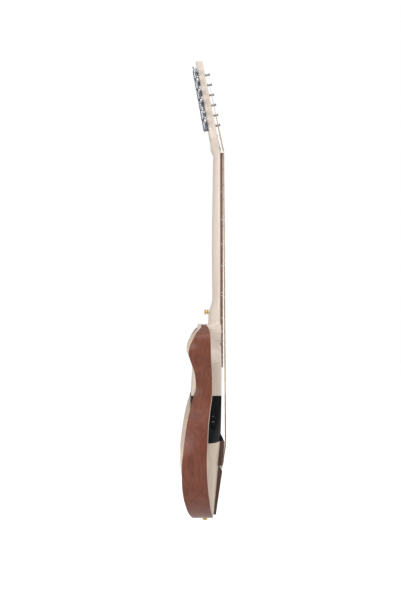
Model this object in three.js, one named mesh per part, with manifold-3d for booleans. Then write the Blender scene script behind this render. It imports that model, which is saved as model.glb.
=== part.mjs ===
import * as THREE from 'three';
import { mergeVertices } from 'three/addons/utils/BufferGeometryUtils.js';
import Module from 'manifold-3d';

const wasm = await Module();
wasm.setup();

// A guitar with an open body frame, in millimetres.
// +X points out of the front (the string side), +Y to the treble side, +Z up the neck.
// It is drawn from a zero on the plane under the fretboard, the centre line and the tail of the body,
// and set at the end so that the origin is the middle of the outer face of the tail screw's head.

// Driving dimensions: strings and neck
const scaleLength = 648;
const saddleZ = 164;
const fretCount = 22;
const nutThickness = 4.6;
const nutHalf = 21.5;
const boardEndHalf = 28.5;
const boardThickness = 4.2;
const boardSeat = 2.2;
const boardCrown = 0.7;
const stringSpreadNut = 35.2;
const stringSpreadSaddle = 52;
const stringRiseNut = 6.4;
const stringRiseSaddle = 10.5;
const stringGauges = [0.3, 0.4, 0.55, 0.75, 0.98, 1.26];
const neckDepth = 20.1;
const heelDepth = 28;

// Driving dimensions: centre body
const blockHalf = 28;
const upperHalf = 55;
const lowerHalf = 84;
const housingBottomZ = 172.5;
const housingTopZ = 273.5;
const shoulderBottomZ = 335;
const shoulderTopZ = 385;
const blockTopZ = 430;
const frontCrestZ = 166.5;
const frontSlope = 0.0948;
const frontDrop = 31;
const upperDrop = 3.6;
const bodyBackX = -62;
const blockBackX = -52;
const housingBackX = -68;
const tailRound = 5;
const coreHalf = 20;
const coreFrontX = -22;
const coreBackX = -58;
const coreEndZ = 12;

// Driving dimensions: side frames
const lowerBoutHalf = 167;
const waistHalf = 108;
const upperBoutHalf = 128;
const frameSetback = 36;
const frameReach = 89.5;
const frameCore = 6;
const frameSkin = 3;
const coreProud = 1.2;

// Driving dimensions: head
const headLength = 206.3;
const headFrontSlope = 0.1962;
const headFaceStep = 2.4;
const headBackSlope = 0.177;
const headBackRise = 46.4;
const headBackX = -27.5;
const tunerCount = 6;
const tunerPitchZ = 23.14;
const firstTunerRise = 174;
const firstTunerY = -2;
const tunerStepY = -3;
const tunerEdge = 14;

// Driving dimensions: strap buttons
const strapButtonRadius = 6.4;
const strapButtonHeight = 8.2;
const strapScrewRadius = 2;
const strapScrewDepth = 17;
const heelButtonZ = 457.5;
const tailButtonX = -35.4;

// Clearance between pieces that touch, and the run of a cutting tool past the face that it cuts
const gap = 0.3;
const overrun = 4;

const half = 0.5;
const quarterTurn = Math.PI / 2;
const V2 = (x, y) => new THREE.Vector2(x, y);
const V3 = (x, y, z) => new THREE.Vector3(x, y, z);
const mix = (a, b, t) => a + (b - a) * t;

// Materials

function finish(color, roughness, metalness) {
  return new THREE.MeshStandardMaterial({ color, roughness, metalness });
}
const maple = finish(0xe1d2c3, 0.4, 0);
const mahogany = finish(0x693c2d, 0.35, 0);
const rosewood = finish(0x4b3024, 0.5, 0);
const blackPlastic = finish(0x191b1e, 0.45, 0);
const chrome = finish(0xc8ccd0, 0.12, 1);
const castMetal = finish(0x55585c, 0.3, 1);
const gold = finish(0xd7af64, 0.25, 1);
const steel = finish(0x8f9296, 0.35, 1);
const bronze = finish(0xb08a5a, 0.3, 1);
const bone = finish(0xeee6d8, 0.4, 0);
const boardGreen = finish(0x1f4a33, 0.5, 0);
const batteryGrey = finish(0x3a3d42, 0.4, 0.2);

// Geometry tools

// Signed volume of a triangle list; positive when the faces point out.
function signedVolume(positions, index) {
  const a = V3();
  const b = V3();
  const c = V3();
  let volume = 0;
  for (let i = 0; i < index.length; i += 3) {
    a.fromArray(positions, index[i] * 3);
    b.fromArray(positions, index[i + 1] * 3);
    c.fromArray(positions, index[i + 2] * 3);
    volume += a.dot(b.cross(c));
  }
  return volume;
}

function flip(index, from = 0) {
  for (let i = from; i < index.length; i += 3) {
    [index[i + 1], index[i + 2]] = [index[i + 2], index[i + 1]];
  }
}

// A closed solid through a row of rings: each ring is a list of 2-D points, and place() sets a point of
// ring k in space. Both ends are closed by triangles across the first and the last ring.
function loft(rings, place) {
  const count = rings[0].length;
  const positions = [];
  rings.forEach((ring, k) => ring.forEach((point) => positions.push(...place(point, k).toArray())));
  const index = [];
  for (let k = 0; k + 1 < rings.length; k += 1) {
    for (let i = 0; i < count; i += 1) {
      const a = k * count + i;
      const b = k * count + (i + 1) % count;
      index.push(a, b, b + count, a, b + count, a + count);
    }
  }
  const sides = index.length;
  const last = (rings.length - 1) * count;
  for (const [a, b, c] of THREE.ShapeUtils.triangulateShape(rings[0], [])) {
    index.push(a, c, b);
  }
  for (const [a, b, c] of THREE.ShapeUtils.triangulateShape(rings[rings.length - 1], [])) {
    index.push(last + a, last + b, last + c);
  }
  if (THREE.ShapeUtils.isClockWise(rings[0])) flip(index, sides);
  if (signedVolume(positions, index) < 0) flip(index);
  const geometry = new THREE.BufferGeometry();
  geometry.setAttribute('position', new THREE.Float32BufferAttribute(positions, 3));
  geometry.setIndex(index);
  return geometry;
}

// Solid of a closed geometry for joins and cuts.
function solid(geometry) {
  const bare = geometry.clone();
  bare.deleteAttribute('normal');
  bare.deleteAttribute('uv');
  const merged = mergeVertices(bare);
  return new wasm.Manifold(new wasm.Mesh({
    numProp: 3,
    vertProperties: new Float32Array(merged.attributes.position.array),
    triVerts: new Uint32Array(merged.index.array),
  }));
}

function toGeometry(manifold) {
  const mesh = manifold.getMesh();
  const geometry = new THREE.BufferGeometry();
  geometry.setAttribute('position', new THREE.Float32BufferAttribute(mesh.vertProperties, mesh.numProp));
  geometry.setIndex([...mesh.triVerts]);
  return geometry;
}

function unite(...geometries) {
  return toGeometry(geometries.map(solid).reduce((whole, piece) => whole.add(piece)));
}

function cut(geometry, ...tools) {
  return toGeometry(tools.map(solid).reduce((rest, tool) => rest.subtract(tool), solid(geometry)));
}

function common(geometry, ...others) {
  return toGeometry(others.map(solid).reduce((rest, other) => rest.intersect(other), solid(geometry)));
}

// A box from its low corner to its high corner.
function box(low, high) {
  const size = high.clone().sub(low);
  const middle = high.clone().add(low).multiplyScalar(half);
  return new THREE.BoxGeometry(size.x, size.y, size.z).translate(middle.x, middle.y, middle.z);
}

// Turns a shape that stands along +Y so that it stands along a direction, from a start point.
function aim(geometry, start, direction) {
  const turn = new THREE.Quaternion().setFromUnitVectors(V3(0, 1, 0), direction.clone().normalize());
  return geometry.applyQuaternion(turn).translate(start.x, start.y, start.z);
}

// A round bar from a start point along a direction.
function rod(radius, length, start, direction, sides = 14) {
  const bar = new THREE.CylinderGeometry(radius, radius, length, sides).translate(0, length * half, 0);
  return aim(bar, start, direction);
}

// A turned solid: the profile lists radius and distance along the axis.
function turned(profile, start, direction, sides = 16) {
  return aim(new THREE.LatheGeometry(profile.map(([r, h]) => V2(r, h)), sides), start, direction);
}

// A plate with a [y, z] outline, between two places along x.
function plateX(shape, lowX, highX, curveSegments = 2) {
  const flat = new THREE.ExtrudeGeometry(shape, { depth: highX - lowX, bevelEnabled: false, curveSegments });
  const turn = new THREE.Matrix4().makeBasis(V3(0, 1, 0), V3(0, 0, 1), V3(1, 0, 0));
  return flat.applyMatrix4(turn).translate(lowX, 0, 0);
}

function roundedRect(lowY, highY, lowZ, highZ, radius) {
  const shape = new THREE.Shape();
  shape.moveTo(lowY + radius, lowZ);
  shape.lineTo(highY - radius, lowZ);
  shape.absarc(highY - radius, lowZ + radius, radius, -quarterTurn, 0);
  shape.lineTo(highY, highZ - radius);
  shape.absarc(highY - radius, highZ - radius, radius, 0, quarterTurn);
  shape.lineTo(lowY + radius, highZ);
  shape.absarc(lowY + radius, highZ - radius, radius, quarterTurn, quarterTurn * 2);
  shape.lineTo(lowY, lowZ + radius);
  shape.absarc(lowY + radius, lowZ + radius, radius, quarterTurn * 2, quarterTurn * 3);
  return shape;
}

// A tube through a list of points, its ring turned no more than the path turns.
function tube(points, radius, sides) {
  const ring = Array.from({ length: sides }, (_, i) => {
    const angle = Math.PI * 2 * (i + half) / sides;
    return V2(Math.cos(angle) * radius, Math.sin(angle) * radius);
  });
  const tangents = points.map((point, i) => {
    const before = points[Math.max(0, i - 1)];
    const after = points[Math.min(points.length - 1, i + 1)];
    const ahead = after.clone().sub(point).normalize();
    const behind = point.clone().sub(before).normalize();
    return ahead.add(behind).normalize();
  });
  const across = [];
  let side = V3(0, 1, 0);
  for (const tangent of tangents) {
    side = side.clone().addScaledVector(tangent, -side.dot(tangent)).normalize();
    across.push(side);
  }
  return loft(points.map(() => ring), (point, k) => {
    const up = tangents[k].clone().cross(across[k]);
    return points[k].clone().addScaledVector(across[k], point.x).addScaledVector(up, point.y);
  });
}

// Value of a smooth curve through [place, value] knots: cubic steps with slopes from the neighbours,
// level at both ends and at every peak.
function through(knots, at) {
  const last = knots.length - 1;
  if (at <= knots[0][0]) return knots[0][1];
  if (at >= knots[last][0]) return knots[last][1];
  let k = 0;
  while (at > knots[k + 1][0]) k += 1;
  const secant = (i) => (knots[i + 1][1] - knots[i][1]) / (knots[i + 1][0] - knots[i][0]);
  const slope = (i) => {
    if (i === 0 || i === last) return 0;
    const before = secant(i - 1);
    const after = secant(i);
    return before * after <= 0 ? 0 : 2 * before * after / (before + after);
  };
  const span = knots[k + 1][0] - knots[k][0];
  const t = (at - knots[k][0]) / span;
  const rise = (1 - t) * (1 - t);
  return knots[k][1] * (1 + 2 * t) * rise + slope(k) * span * t * rise
    + knots[k + 1][1] * t * t * (3 - 2 * t) - slope(k + 1) * span * t * t * (1 - t);
}

// Half an oval from +width to -width over a height, squarer as the power rises.
function arch(width, height, power, steps) {
  return Array.from({ length: steps + 1 }, (_, i) => {
    const angle = Math.PI * i / steps;
    const across = Math.abs(Math.cos(angle)) ** (2 / power) * Math.sign(Math.cos(angle));
    const up = i === 0 || i === steps ? 0 : Math.sin(angle) ** (2 / power);
    return [width * (i * 2 === steps ? 0 : across), height * up];
  });
}

function spread(low, high, steps) {
  return Array.from({ length: steps + 1 }, (_, i) => mix(low, high, i / steps));
}

// Rings that lie level, each at its own height.
const level = (stations) => (point, k) => V3(point.x, point.y, stations[k]);

// Centre body: half-widths, crowned front and rounded back by height

const lowerHalfShares = [[0, 0], [0.06, 0], [0.145, 0.143], [0.319, 0.393], [0.551, 0.714], [0.783, 0.929],
  [0.94, 1], [1, 1]];
const flareShares = [[0, 1], [0.22, 0.61], [0.32, 0.38], [0.47, 0.17], [0.62, 0], [1, 0]];
const shoulderShares = [[0, 1], [0.3, 0.81], [0.6, 0.36], [0.85, 0.05], [1, 0]];
const frontDropShares = [[0, 0.16], [0.08, 0.27], [0.17, 0.42], [0.33, 0.68], [0.49, 0.88], [0.8, 1], [1, 1]];
const archPower = 2;
const upperPower = 6;
const blockDrop = 0.2;
const backAwayShares = [[0, 0], [0.25, 0.5], [0.6, 0.95], [1, 1]];
const blockBackShares = [[0, 0], [0.35, 0.02], [0.62, 0.3], [0.85, 0.8], [1, 1]];
const backDrop = 14;
const backPower = 3;
const housingBackDrop = 4;
const housingBackPower = 6;
const frontSteps = 10;
const backSteps = 8;

function shoulderAt(z) {
  return through(shoulderShares, (z - shoulderBottomZ) / (shoulderTopZ - shoulderBottomZ));
}

function flareAt(z) {
  return through(flareShares, (z - housingBottomZ) / (housingTopZ - housingBottomZ));
}

const housingStations = spread(housingBottomZ, housingTopZ, 8);

// Half-width of the control housing: straight from station to station.
function housingHalfAt(z) {
  const k = Math.max(1, housingStations.findIndex((station) => station >= z));
  const [low, high] = [housingStations[k - 1], housingStations[k]];
  const [from, to] = [low, high].map((station) => mix(upperHalf, lowerHalf, flareAt(station)));
  return mix(from, to, (z - low) / (high - low));
}

function bodyHalfAt(z) {
  if (z < housingBottomZ) return mix(blockHalf, lowerHalf, through(lowerHalfShares, z / housingBottomZ));
  if (z < housingTopZ) return housingHalfAt(z);
  return mix(blockHalf, upperHalf, shoulderAt(z));
}

function bodyFrontAt(z) {
  const below = Math.max(0, tailRound - z) / tailRound;
  return -Math.max(0, frontCrestZ - z) * frontSlope - tailRound * (1 - Math.sqrt(1 - below * below));
}

// Back of the body at a height: flat and square beside the control housing, rounder away from it.
function bodyBackAt(z) {
  const away = z < housingBottomZ ? 1 - z / housingBottomZ : (z - housingTopZ) / (blockTopZ - housingTopZ);
  const share = through(backAwayShares, away);
  const end = z < housingBottomZ ? bodyBackX : mix(bodyBackX, blockBackX, through(blockBackShares, away));
  return {
    back: mix(housingBackX + half, end, share),
    drop: mix(housingBackDrop, backDrop, share),
    power: mix(housingBackPower, backPower, share),
  };
}

// How far the front falls from the centre line to the side, and how square that crown is.
function bodyCrownAt(z) {
  if (z <= housingBottomZ) return [frontDrop * through(frontDropShares, z / housingBottomZ), archPower];
  if (z > housingTopZ) return [mix(blockDrop, upperDrop, shoulderAt(z)), upperPower];
  const t = (z - housingBottomZ) / (housingTopZ - housingBottomZ);
  const ease = t * t * (3 - 2 * t);
  return [mix(frontDrop, upperDrop, ease), mix(archPower, upperPower, ease)];
}

// Ring of the centre body as [x, y] points; grow moves the front and the sides outwards.
function bodyRing(z, { back, drop, power } = bodyBackAt(z), grow = 0) {
  const [crownDrop, crownPower] = bodyCrownAt(z);
  const front = bodyFrontAt(z) + grow;
  const wide = bodyHalfAt(z) + grow;
  const top = arch(wide, crownDrop, crownPower, frontSteps);
  const under = arch(wide, drop, power, backSteps).reverse();
  return [
    ...top.map(([y, x]) => V2(front - crownDrop + x, y)),
    ...under.map(([y, x]) => V2(back - grow + drop - x, y)),
  ];
}

// Neck and head: places along Z

const nutZ = saddleZ + scaleLength;
const boardEndZ = saddleZ + scaleLength * 0.263;
const headStartZ = nutZ + nutThickness + gap;
const headTopZ = nutZ + headLength;
const headBackZ = nutZ + headBackRise;
const firstTunerZ = nutZ + firstTunerRise;
const heelBottomZ = blockTopZ - 10;
const heelTopZ = blockTopZ + 62;

const heelDepthShares = [[0, 1], [0.139, 1], [0.361, 0.995], [0.576, 0.918], [0.708, 0.8], [0.889, 0.688],
  [1, 0.682]];
const neckDepthShares = [[0, 0.95], [0.33, 1], [0.68, 0.945], [1, 0.856]];
const volutePlaces = [-14, -8, -3, 5, 9, 25, 32.7];
const voluteDepthShares = [0.64, 0.607, 0.651, 0.764, 0.829, 0.836, 0.927];
const headWidthPlaces = [-1, 12, 22, 34];
const neckPower = 2.2;
const heelPower = 3.4;
const headPower = 12;
const neckSteps = 10;
const headBassShares = [[0, 0], [0.2, 0.25], [0.42, 0.85], [0.62, 1]];
const headBlend = 74;
const headTrebleTop = 9.5;
const headTrebleEdge = 13.5;

const headFrontAt = (z) => -headFaceStep - (z - headStartZ) * headFrontSlope;
const headBackAt = (z) => headBackX - (z - headBackZ) * headBackSlope;
const neckHalfAt = (z) => mix(boardEndHalf, nutHalf, (z - boardEndZ) / (nutZ - boardEndZ));
const tunerLineY = (z) => firstTunerY + tunerStepY * (firstTunerZ - z) / tunerPitchZ;

// Depth of the neck behind the fretboard plane, down through the heel.
function neckDepthAt(z) {
  if (z < heelTopZ) return heelDepth * through(heelDepthShares, (z - heelBottomZ) / (heelTopZ - heelBottomZ));
  return neckDepth * through(neckDepthShares, (z - heelTopZ) / (nutZ - heelTopZ));
}

// Edges of the head at a height.
function headEdges(z) {
  const side = neckHalfAt(Math.min(z, headStartZ));
  const blend = through(headBassShares, (z - nutZ) / headBlend);
  const run = (z - headStartZ) / (headTopZ - headStartZ);
  const treble = through([[0, side], [0.16, mix(side, headTrebleEdge, 0.45)], [0.45, headTrebleEdge * 1.12],
    [0.84, headTrebleEdge], [1, headTrebleTop]], run);
  return { low: mix(-side, tunerLineY(z) - tunerEdge, blend), high: treble };
}

// One ring of the neck and head; the face steps down behind the nut.
function neckRing(z) {
  const voluteStart = nutZ + volutePlaces[0];
  const side = neckHalfAt(z);
  let low = -side;
  let high = side;
  let front = 0;
  let depth = neckDepthAt(z);
  const heelRun = (z - heelBottomZ) / (heelTopZ - heelBottomZ);
  let power = mix(neckPower, heelPower, through([[0, 1], [1, 0]], heelRun));
  if (z > voluteStart) {
    const knots = volutePlaces.map((place, i) => [nutZ + place, voluteDepthShares[i]]);
    ({ low, high } = headEdges(z));
    front = z < headStartZ ? 0 : headFrontAt(z);
    depth = z < headBackZ ? -headBackX * through([...knots, [headBackZ, 1]], z) : -headBackAt(z);
    const voluteRun = (z - voluteStart) / (headBackZ - voluteStart);
    power = through([[0, neckPower], [0.35, 5], [1, headPower]], voluteRun);
  }
  const middle = (low + high) * half;
  const outline = arch((high - low) * half, depth + front, power, neckSteps);
  return outline.map(([y, x]) => V2(front - x, middle + y));
}

// Frame of a tuner: its zero is on the back of the head, x out of the front and z up the head.
const headTilt = Math.atan(headBackSlope);
const tunerGroups = Array.from({ length: tunerCount }, (_, k) => {
  const z = firstTunerZ - k * tunerPitchZ;
  const group = new THREE.Group();
  group.position.set(headBackAt(z), tunerLineY(z), z);
  group.rotation.y = -headTilt;
  group.updateMatrixWorld(true);
  return group;
});
const onHead = (geometry, k) => geometry.applyMatrix4(tunerGroups[k].matrixWorld);

// Thickness of the head along a tuner's post.
function headThicknessAt(k) {
  const z = firstTunerZ - k * tunerPitchZ;
  return (headFrontAt(z) - headBackAt(z)) * Math.cos(headTilt);
}

// Tuning machine dimensions
const barrelRadius = 3.3;
const wormRise = 10.5;
const gearX = -6;
const gearThickness = 4;
const gearTeeth = 14;
const gearTip = 7.1;
const gearRoot = 6.2;
const caseSide = 9;
const caseDepth = 10.8;
const caseWall = 1.1;
const caseCorner = 4.5;
const wormRadius = 2.9;
const wormHalf = 5.5;
const wormShaft = 1.5;
const collarRadius = 2.9;
const collarLength = 3;
const buttonStart = 23;
const buttonLength = 18;
const buttonLong = 8;
const buttonThick = 3.2;
const postShaft = 2.3;
const postWaist = 1.9;
const postWaistRise = 5.6;
const postCap = 2.9;
const postCapHeight = 2.6;
const postRise = 11.7;
const postHole = 0.7;
const flangeRadius = 4.4;
const flangeHeight = 1.6;
const pinPlace = 7;
const pinRadius = 1;
const pinReach = 3;

// Side frames: plan of the outer face from the tail block round to the heel block, and edges by height

const frameLength = blockTopZ;
const frameInset = 9;
const frameSteps = 44;
const lowerPlanShares = [[0.335, 0.0128], [0.503, 0.036], [0.671, 0.0767], [0.838, 0.1395], [0.952, 0.2256],
  [1, 0.3372], [0.898, 0.4884], [0.707, 0.6116]];
const upperPlanShares = [[0.906, 0.7907], [1, 0.8674], [0.922, 0.9465], [0.664, 0.9884]];
const plan = new THREE.CatmullRomCurve3([
  V3(0, blockHalf - frameInset, 0),
  ...lowerPlanShares.map(([side, rise]) => V3(0, side * lowerBoutHalf, rise * frameLength)),
  V3(0, waistHalf, frameLength * 0.6977),
  ...upperPlanShares.map(([side, rise]) => V3(0, side * upperBoutHalf, rise * frameLength)),
  V3(0, blockHalf - frameInset, frameLength),
], false, 'centripetal');

const frameFrontShares = [[0, 0.497], [0.026, 0.576], [0.077, 0.717], [0.142, 0.827], [0.184, 0.898],
  [0.33, 1], [0.421, 0.95], [0.502, 0.895], [0.586, 0.762], [0.633, 0.668], [0.691, 0.618],
  [0.767, 0.644], [0.847, 0.715], [0.905, 0.73], [0.95, 0.735], [0.978, 0.79], [1, 0.9]];
const frameBackShares = [[0, 0.682], [0.021, 0.745], [0.056, 0.836], [0.1, 0.903], [0.153, 0.961],
  [0.226, 0.997], [0.302, 1], [0.395, 0.961], [0.477, 0.905], [0.551, 0.836], [0.591, 0.785],
  [0.647, 0.712], [0.691, 0.65], [0.758, 0.68], [0.793, 0.736], [0.833, 0.8], [0.856, 0.835],
  [0.886, 0.82], [0.923, 0.745], [0.96, 0.65], [1, 0.505]];
const frameFrontAt = (z) => -frameSetback * through(frameFrontShares, z / frameLength);
const frameBackAt = (z) => -frameReach * through(frameBackShares, z / frameLength);

// One layer of a side frame between two depths below its outer face, its front edge set back.
function frameLayer(side, outside, inside, setback) {
  const stations = spread(0, 1, frameSteps).map((t) => {
    const point = plan.getPointAt(t);
    const along = plan.getTangentAt(t);
    return { y: point.y, z: point.z, outY: along.z, outZ: -along.y };
  });
  const rings = stations.map(({ z }) => {
    const front = frameFrontAt(z) - setback;
    const back = frameBackAt(z);
    return [V2(front, -outside), V2(back, -outside), V2(back, -inside), V2(front, -inside)];
  });
  return loft(rings, (point, k) => {
    const { y, z, outY, outZ } = stations[k];
    return V3(point.x, side * (y + outY * point.y), z + outZ * point.y);
  });
}

// Tenons: round dowels glued into the ends of the frame cores, that enter the tail and the heel block
const tenonRadius = 1.5;
const tenonReach = 10;
const tenonShares = [0.26, 0.74];

// Height of the middle of the frame's core where a tenon starts.
function tenonHeight(top) {
  const wanted = blockHalf + tenonReach * half;
  const places = spread(0, half, frameSteps * frameSteps).map((t) => plan.getPointAt(top ? 1 - t : t));
  const nearest = places.find((point) => point.y >= wanted);
  const depth = frameSkin + gap + frameCore * half;
  return nearest.z + (top ? -depth : depth);
}
const tenonHeights = [tenonHeight(false), tenonHeight(true)];

function tenons(side, radius, reach) {
  return tenonHeights.flatMap((z, end) => tenonShares.map((share) => {
    const x = mix(frameFrontAt(end * frameLength), frameBackAt(end * frameLength), share);
    return rod(radius, reach + tenonReach, V3(x, side * (blockHalf - reach), z), V3(0, side, 0), 10);
  }));
}

const tenonHoles = () => [-1, 1].flatMap((side) => tenons(side, tenonRadius + gap, tenonReach + gap));

// Strap buttons: where they sit, and the holes for their screws
const heelOut = V3(-1, 0, 0);
const tailOut = V3(0, 0, -1);
const heelSeat = V3(-neckDepthAt(heelButtonZ - strapButtonRadius) - gap, 0, heelButtonZ);
const tailSeat = V3(tailButtonX, 0, -gap);

function strapHole(seat, out) {
  const start = seat.clone().addScaledVector(out, overrun);
  return rod(strapScrewRadius + gap, strapScrewDepth + gap + overrun, start, out.clone().negate(), 10);
}

// Small countersunk and pan screws
const pinScrewHead = 2.2;
const pinScrewRise = 1.1;
const pinScrewShank = 1;
const pinScrewLength = 9;
const pinScrewTip = 1;

function smallScrew(seat, out, length = pinScrewLength) {
  return turned([[0, -length], [pinScrewShank, pinScrewTip - length], [pinScrewShank, 0],
    [pinScrewHead, 0], [pinScrewHead * 0.85, pinScrewRise * 0.7], [0, pinScrewRise]], seat, out, 8);
}

function smallScrewHole(seat, out, length = pinScrewLength) {
  return rod(pinScrewShank + gap, length + gap + overrun, seat.clone().addScaledVector(out, overrun),
    out.clone().negate(), 8);
}

// Truss rod cover: its plane, and its screws
const coverRise = 2;
const coverStart = 1.4;
const coverLength = 40;
const coverHalfLow = 10;
const coverHalfHigh = 7;
const coverScrewShares = [[0.13, -0.7], [0.13, 0.7], [0.86, 0]];
const frontTilt = Math.atan(headFrontSlope);
const faceOut = V3(Math.cos(frontTilt), 0, Math.sin(frontTilt));

// A place on the head's face: a share of the cover's length up, and of its half-width across.
function coverPoint(up, across) {
  const z = headStartZ + coverStart + up * coverLength;
  return V3(headFrontAt(z), across * mix(coverHalfLow, coverHalfHigh, up), z);
}
const coverScrewSeats = coverScrewShares
  .map(([up, across]) => coverPoint(up, across).addScaledVector(faceOut, coverRise + gap));

// Back cover of the control housing: its plane, and its screws
const coverThickness = 2.4;
const coverFrontX = housingBackX + coverThickness;
const backScrewInset = 10;
const backScrewLength = 14;
const backScrewSeats = [housingBottomZ + backScrewInset, housingTopZ - backScrewInset]
  .map((z) => V3(housingBackX - gap, 0, z));

// Truss rod channel under the fretboard
const trussHalf = 3.3;
const trussDepth = 10.4;
const trussStartZ = shoulderTopZ - 25;
const trussPocketLength = 18;
const trussPocketEndZ = nutZ + trussPocketLength;

// Seat of the fretboard, let into the front of the neck and the upper body
function boardRoom() {
  const stations = [boardEndZ - gap, nutZ];
  return loft(stations.map((z) => {
    const side = neckHalfAt(z) + gap;
    return [V2(-boardSeat, -side), V2(overrun, -side), V2(overrun, side), V2(-boardSeat, side)];
  }), level(stations));
}

// Neck, head, upper body and core: one piece of maple from the head to the tail

function neckSpine() {
  const stations = [
    ...spread(heelBottomZ, heelTopZ, 8),
    ...spread(heelTopZ, nutZ + volutePlaces[0], 6).slice(1),
    ...[...volutePlaces.slice(1), ...headWidthPlaces].map((place) => nutZ + place),
    headStartZ - gap * half,
    headStartZ,
    ...spread(headBackZ, headTopZ, 6),
  ].sort((a, b) => a - b);
  const neck = loft(stations.map(neckRing), level(stations));
  const upperStart = housingTopZ + gap;
  const heights = [
    ...spread(upperStart, shoulderBottomZ, 3),
    ...spread(shoulderBottomZ, shoulderTopZ, 7).slice(1),
    mix(shoulderTopZ, blockTopZ, half),
    blockTopZ,
  ];
  const upper = loft(heights.map((z) => bodyRing(z)), level(heights));
  const core = box(V3(coreBackX, -coreHalf, coreEndZ), V3(coreFrontX, coreHalf, upperStart + overrun));
  const channel = box(V3(-trussDepth, -trussHalf, trussStartZ), V3(overrun, trussHalf, trussPocketEndZ));
  const postHoles = tunerGroups.map((_, k) => onHead(
    rod(barrelRadius + gap, headThicknessAt(k) + overrun * 2, V3(-overrun, 0, 0), V3(1, 0, 0), 10), k));
  const pinHoles = tunerGroups.map((_, k) => onHead(
    rod(pinRadius + gap, pinReach + gap + overrun, V3(-overrun, pinPlace, 0), V3(1, 0, 0), 6), k));
  return cut(unite(neck, upper, core), boardRoom(), channel, ...postHoles, ...pinHoles, ...tenonHoles(),
    strapHole(heelSeat, heelOut), strapHole(tailSeat, tailOut),
    ...coverScrewSeats.map((seat) => smallScrewHole(seat, faceOut)),
    ...backScrewSeats.map((seat) => smallScrewHole(seat, heelOut, backScrewLength)));
}

// Fretboard: a crowned board with its frets pressed in

const fretWidth = 2.4;
const fretHeight = 1;
const fretTang = 0.8;
const acrossShares = [-1, -0.5, 0, 0.5, 1];
const fretShares = [[-0.5, 0], [0.5, 0], [0.25, 1], [-0.25, 1]];

function boardRiseAt(y, z) {
  const share = y / neckHalfAt(z);
  return boardThickness - boardCrown * share * share;
}

const semitones = 12;
const fretAt = (count) => nutZ - scaleLength * (1 - 2 ** (-count / semitones));
const fretPlaces = Array.from({ length: fretCount }, (_, i) => fretAt(i + 1));

function fretboard() {
  const stations = [boardEndZ, nutZ - gap];
  const rings = stations.map((z) => {
    const side = neckHalfAt(z);
    const top = acrossShares.map((share) => V2(boardRiseAt(share * side, z), share * side));
    return [V2(gap - boardSeat, -side), ...top, V2(gap - boardSeat, side)];
  });
  const board = loft(rings, level(stations));
  const frets = fretPlaces.map((z) => {
    const rise = (up) => (up > 0 ? up * fretHeight : -fretTang);
    const profile = fretShares.map(([along, up]) => V2(along * fretWidth, rise(up)));
    return loft(acrossShares.map(() => profile), (point, k) => {
      const y = acrossShares[k] * (neckHalfAt(z) - gap);
      return V3(boardRiseAt(y, z) + point.y, y, z + point.x);
    });
  });
  return unite(board, ...frets);
}

// Strings: each runs from its ball end over the saddle and the nut to its post, treble string first

const bridgeEndZ = 116.8;
const ballRadius = 2.2;
const ballHole = 0.8;
const ballLength = 3;
const ballX = 1.4;
const ballZ = bridgeEndZ - 4.9;
const windingTurns = 2;
const windingSteps = 8;
const windingSpace = 0.45;
const windingFit = 0.4;
const stringSides = 6;
const nutCrest = 0.5;
const stringEndSteps = [[0, 1.3], [0.3, 3.6], [1.9, 5.2], [2.6, 6.8]];
const saddleCrest = 1.3;

function stringPlace(k) {
  const share = half - k / (tunerCount - 1);
  const radius = stringGauges[k] * half;
  return { radius, nutY: share * stringSpreadNut, saddleY: share * stringSpreadSaddle };
}

// Turns of a string round its post, in the tuner's own frame: it meets the post on the treble side and
// goes down towards the head turn by turn.
function windingPoints(k, radius) {
  const around = postWaist + radius + windingFit;
  const pitch = radius * 2 + windingSpace;
  const top = headThicknessAt(k) + postWaistRise + pitch * windingTurns * half;
  return Array.from({ length: windingTurns * windingSteps + 1 }, (_, i) => {
    const turn = i / windingSteps;
    const angle = Math.PI * 2 * turn;
    return V3(top - pitch * turn, around * Math.cos(angle), around * Math.sin(angle));
  });
}

// Least gap between the turns of a winding, on points at least half a turn apart.
function leastWindingGap(k) {
  const { radius } = stringPlace(k);
  const points = windingPoints(k, radius);
  const apart = Math.ceil(windingSteps * half);
  const gaps = points.flatMap((point, i) => points.slice(i + apart).map((other) => point.distanceTo(other)));
  return Math.min(...gaps) - radius * 2;
}
const leastGap = Math.min(...stringGauges.map((_, k) => leastWindingGap(k)));
console.log(`least gap between the turns of a string: ${leastGap.toFixed(2)} mm`);

function string(k) {
  const { radius, nutY, saddleY } = stringPlace(k);
  const winding = windingPoints(k, radius).map((point) => point.applyMatrix4(tunerGroups[k].matrixWorld));
  const points = [
    ...stringEndSteps.map(([x, z]) => V3(ballX + x, saddleY, ballZ + z)),
    V3(stringRiseSaddle, saddleY, saddleZ - saddleCrest),
    V3(stringRiseSaddle, saddleY, saddleZ + saddleCrest),
    V3(stringRiseNut, nutY, nutZ),
    V3(stringRiseNut, nutY, nutZ + nutThickness * 0.8),
    ...winding,
  ];
  const ball = turned([[ballHole, 0], [ballRadius, 0], [ballRadius, ballLength], [ballHole, ballLength],
    [ballHole, 0]], V3(ballX, saddleY - ballLength * half, ballZ), V3(0, 1, 0), 8);
  return unite(tube(points, radius, stringSides), ball);
}

// Nut: a block with a rounded top and a slot for each string
const nutShares = [[0, 0], [1, 0], [1, 0.8], [0.8, 0.96], [0.45, 1], [0, 0.92]];

function nut() {
  const crest = stringRiseNut + nutCrest;
  const profile = nutShares.map(([along, up]) => V2(mix(gap, crest, up), nutZ + along * nutThickness));
  const blank = loft([profile, profile], (point, k) => V3(point.x, (k - half) * 2 * nutHalf, point.y));
  const slots = stringGauges.map((gauge, k) => {
    const { radius, nutY } = stringPlace(k);
    const side = radius + gap;
    return box(V3(stringRiseNut - side, nutY - side, nutZ - overrun),
      V3(crest + overrun, nutY + side, nutZ + nutThickness + overrun));
  });
  return cut(blank, ...slots);
}

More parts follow.
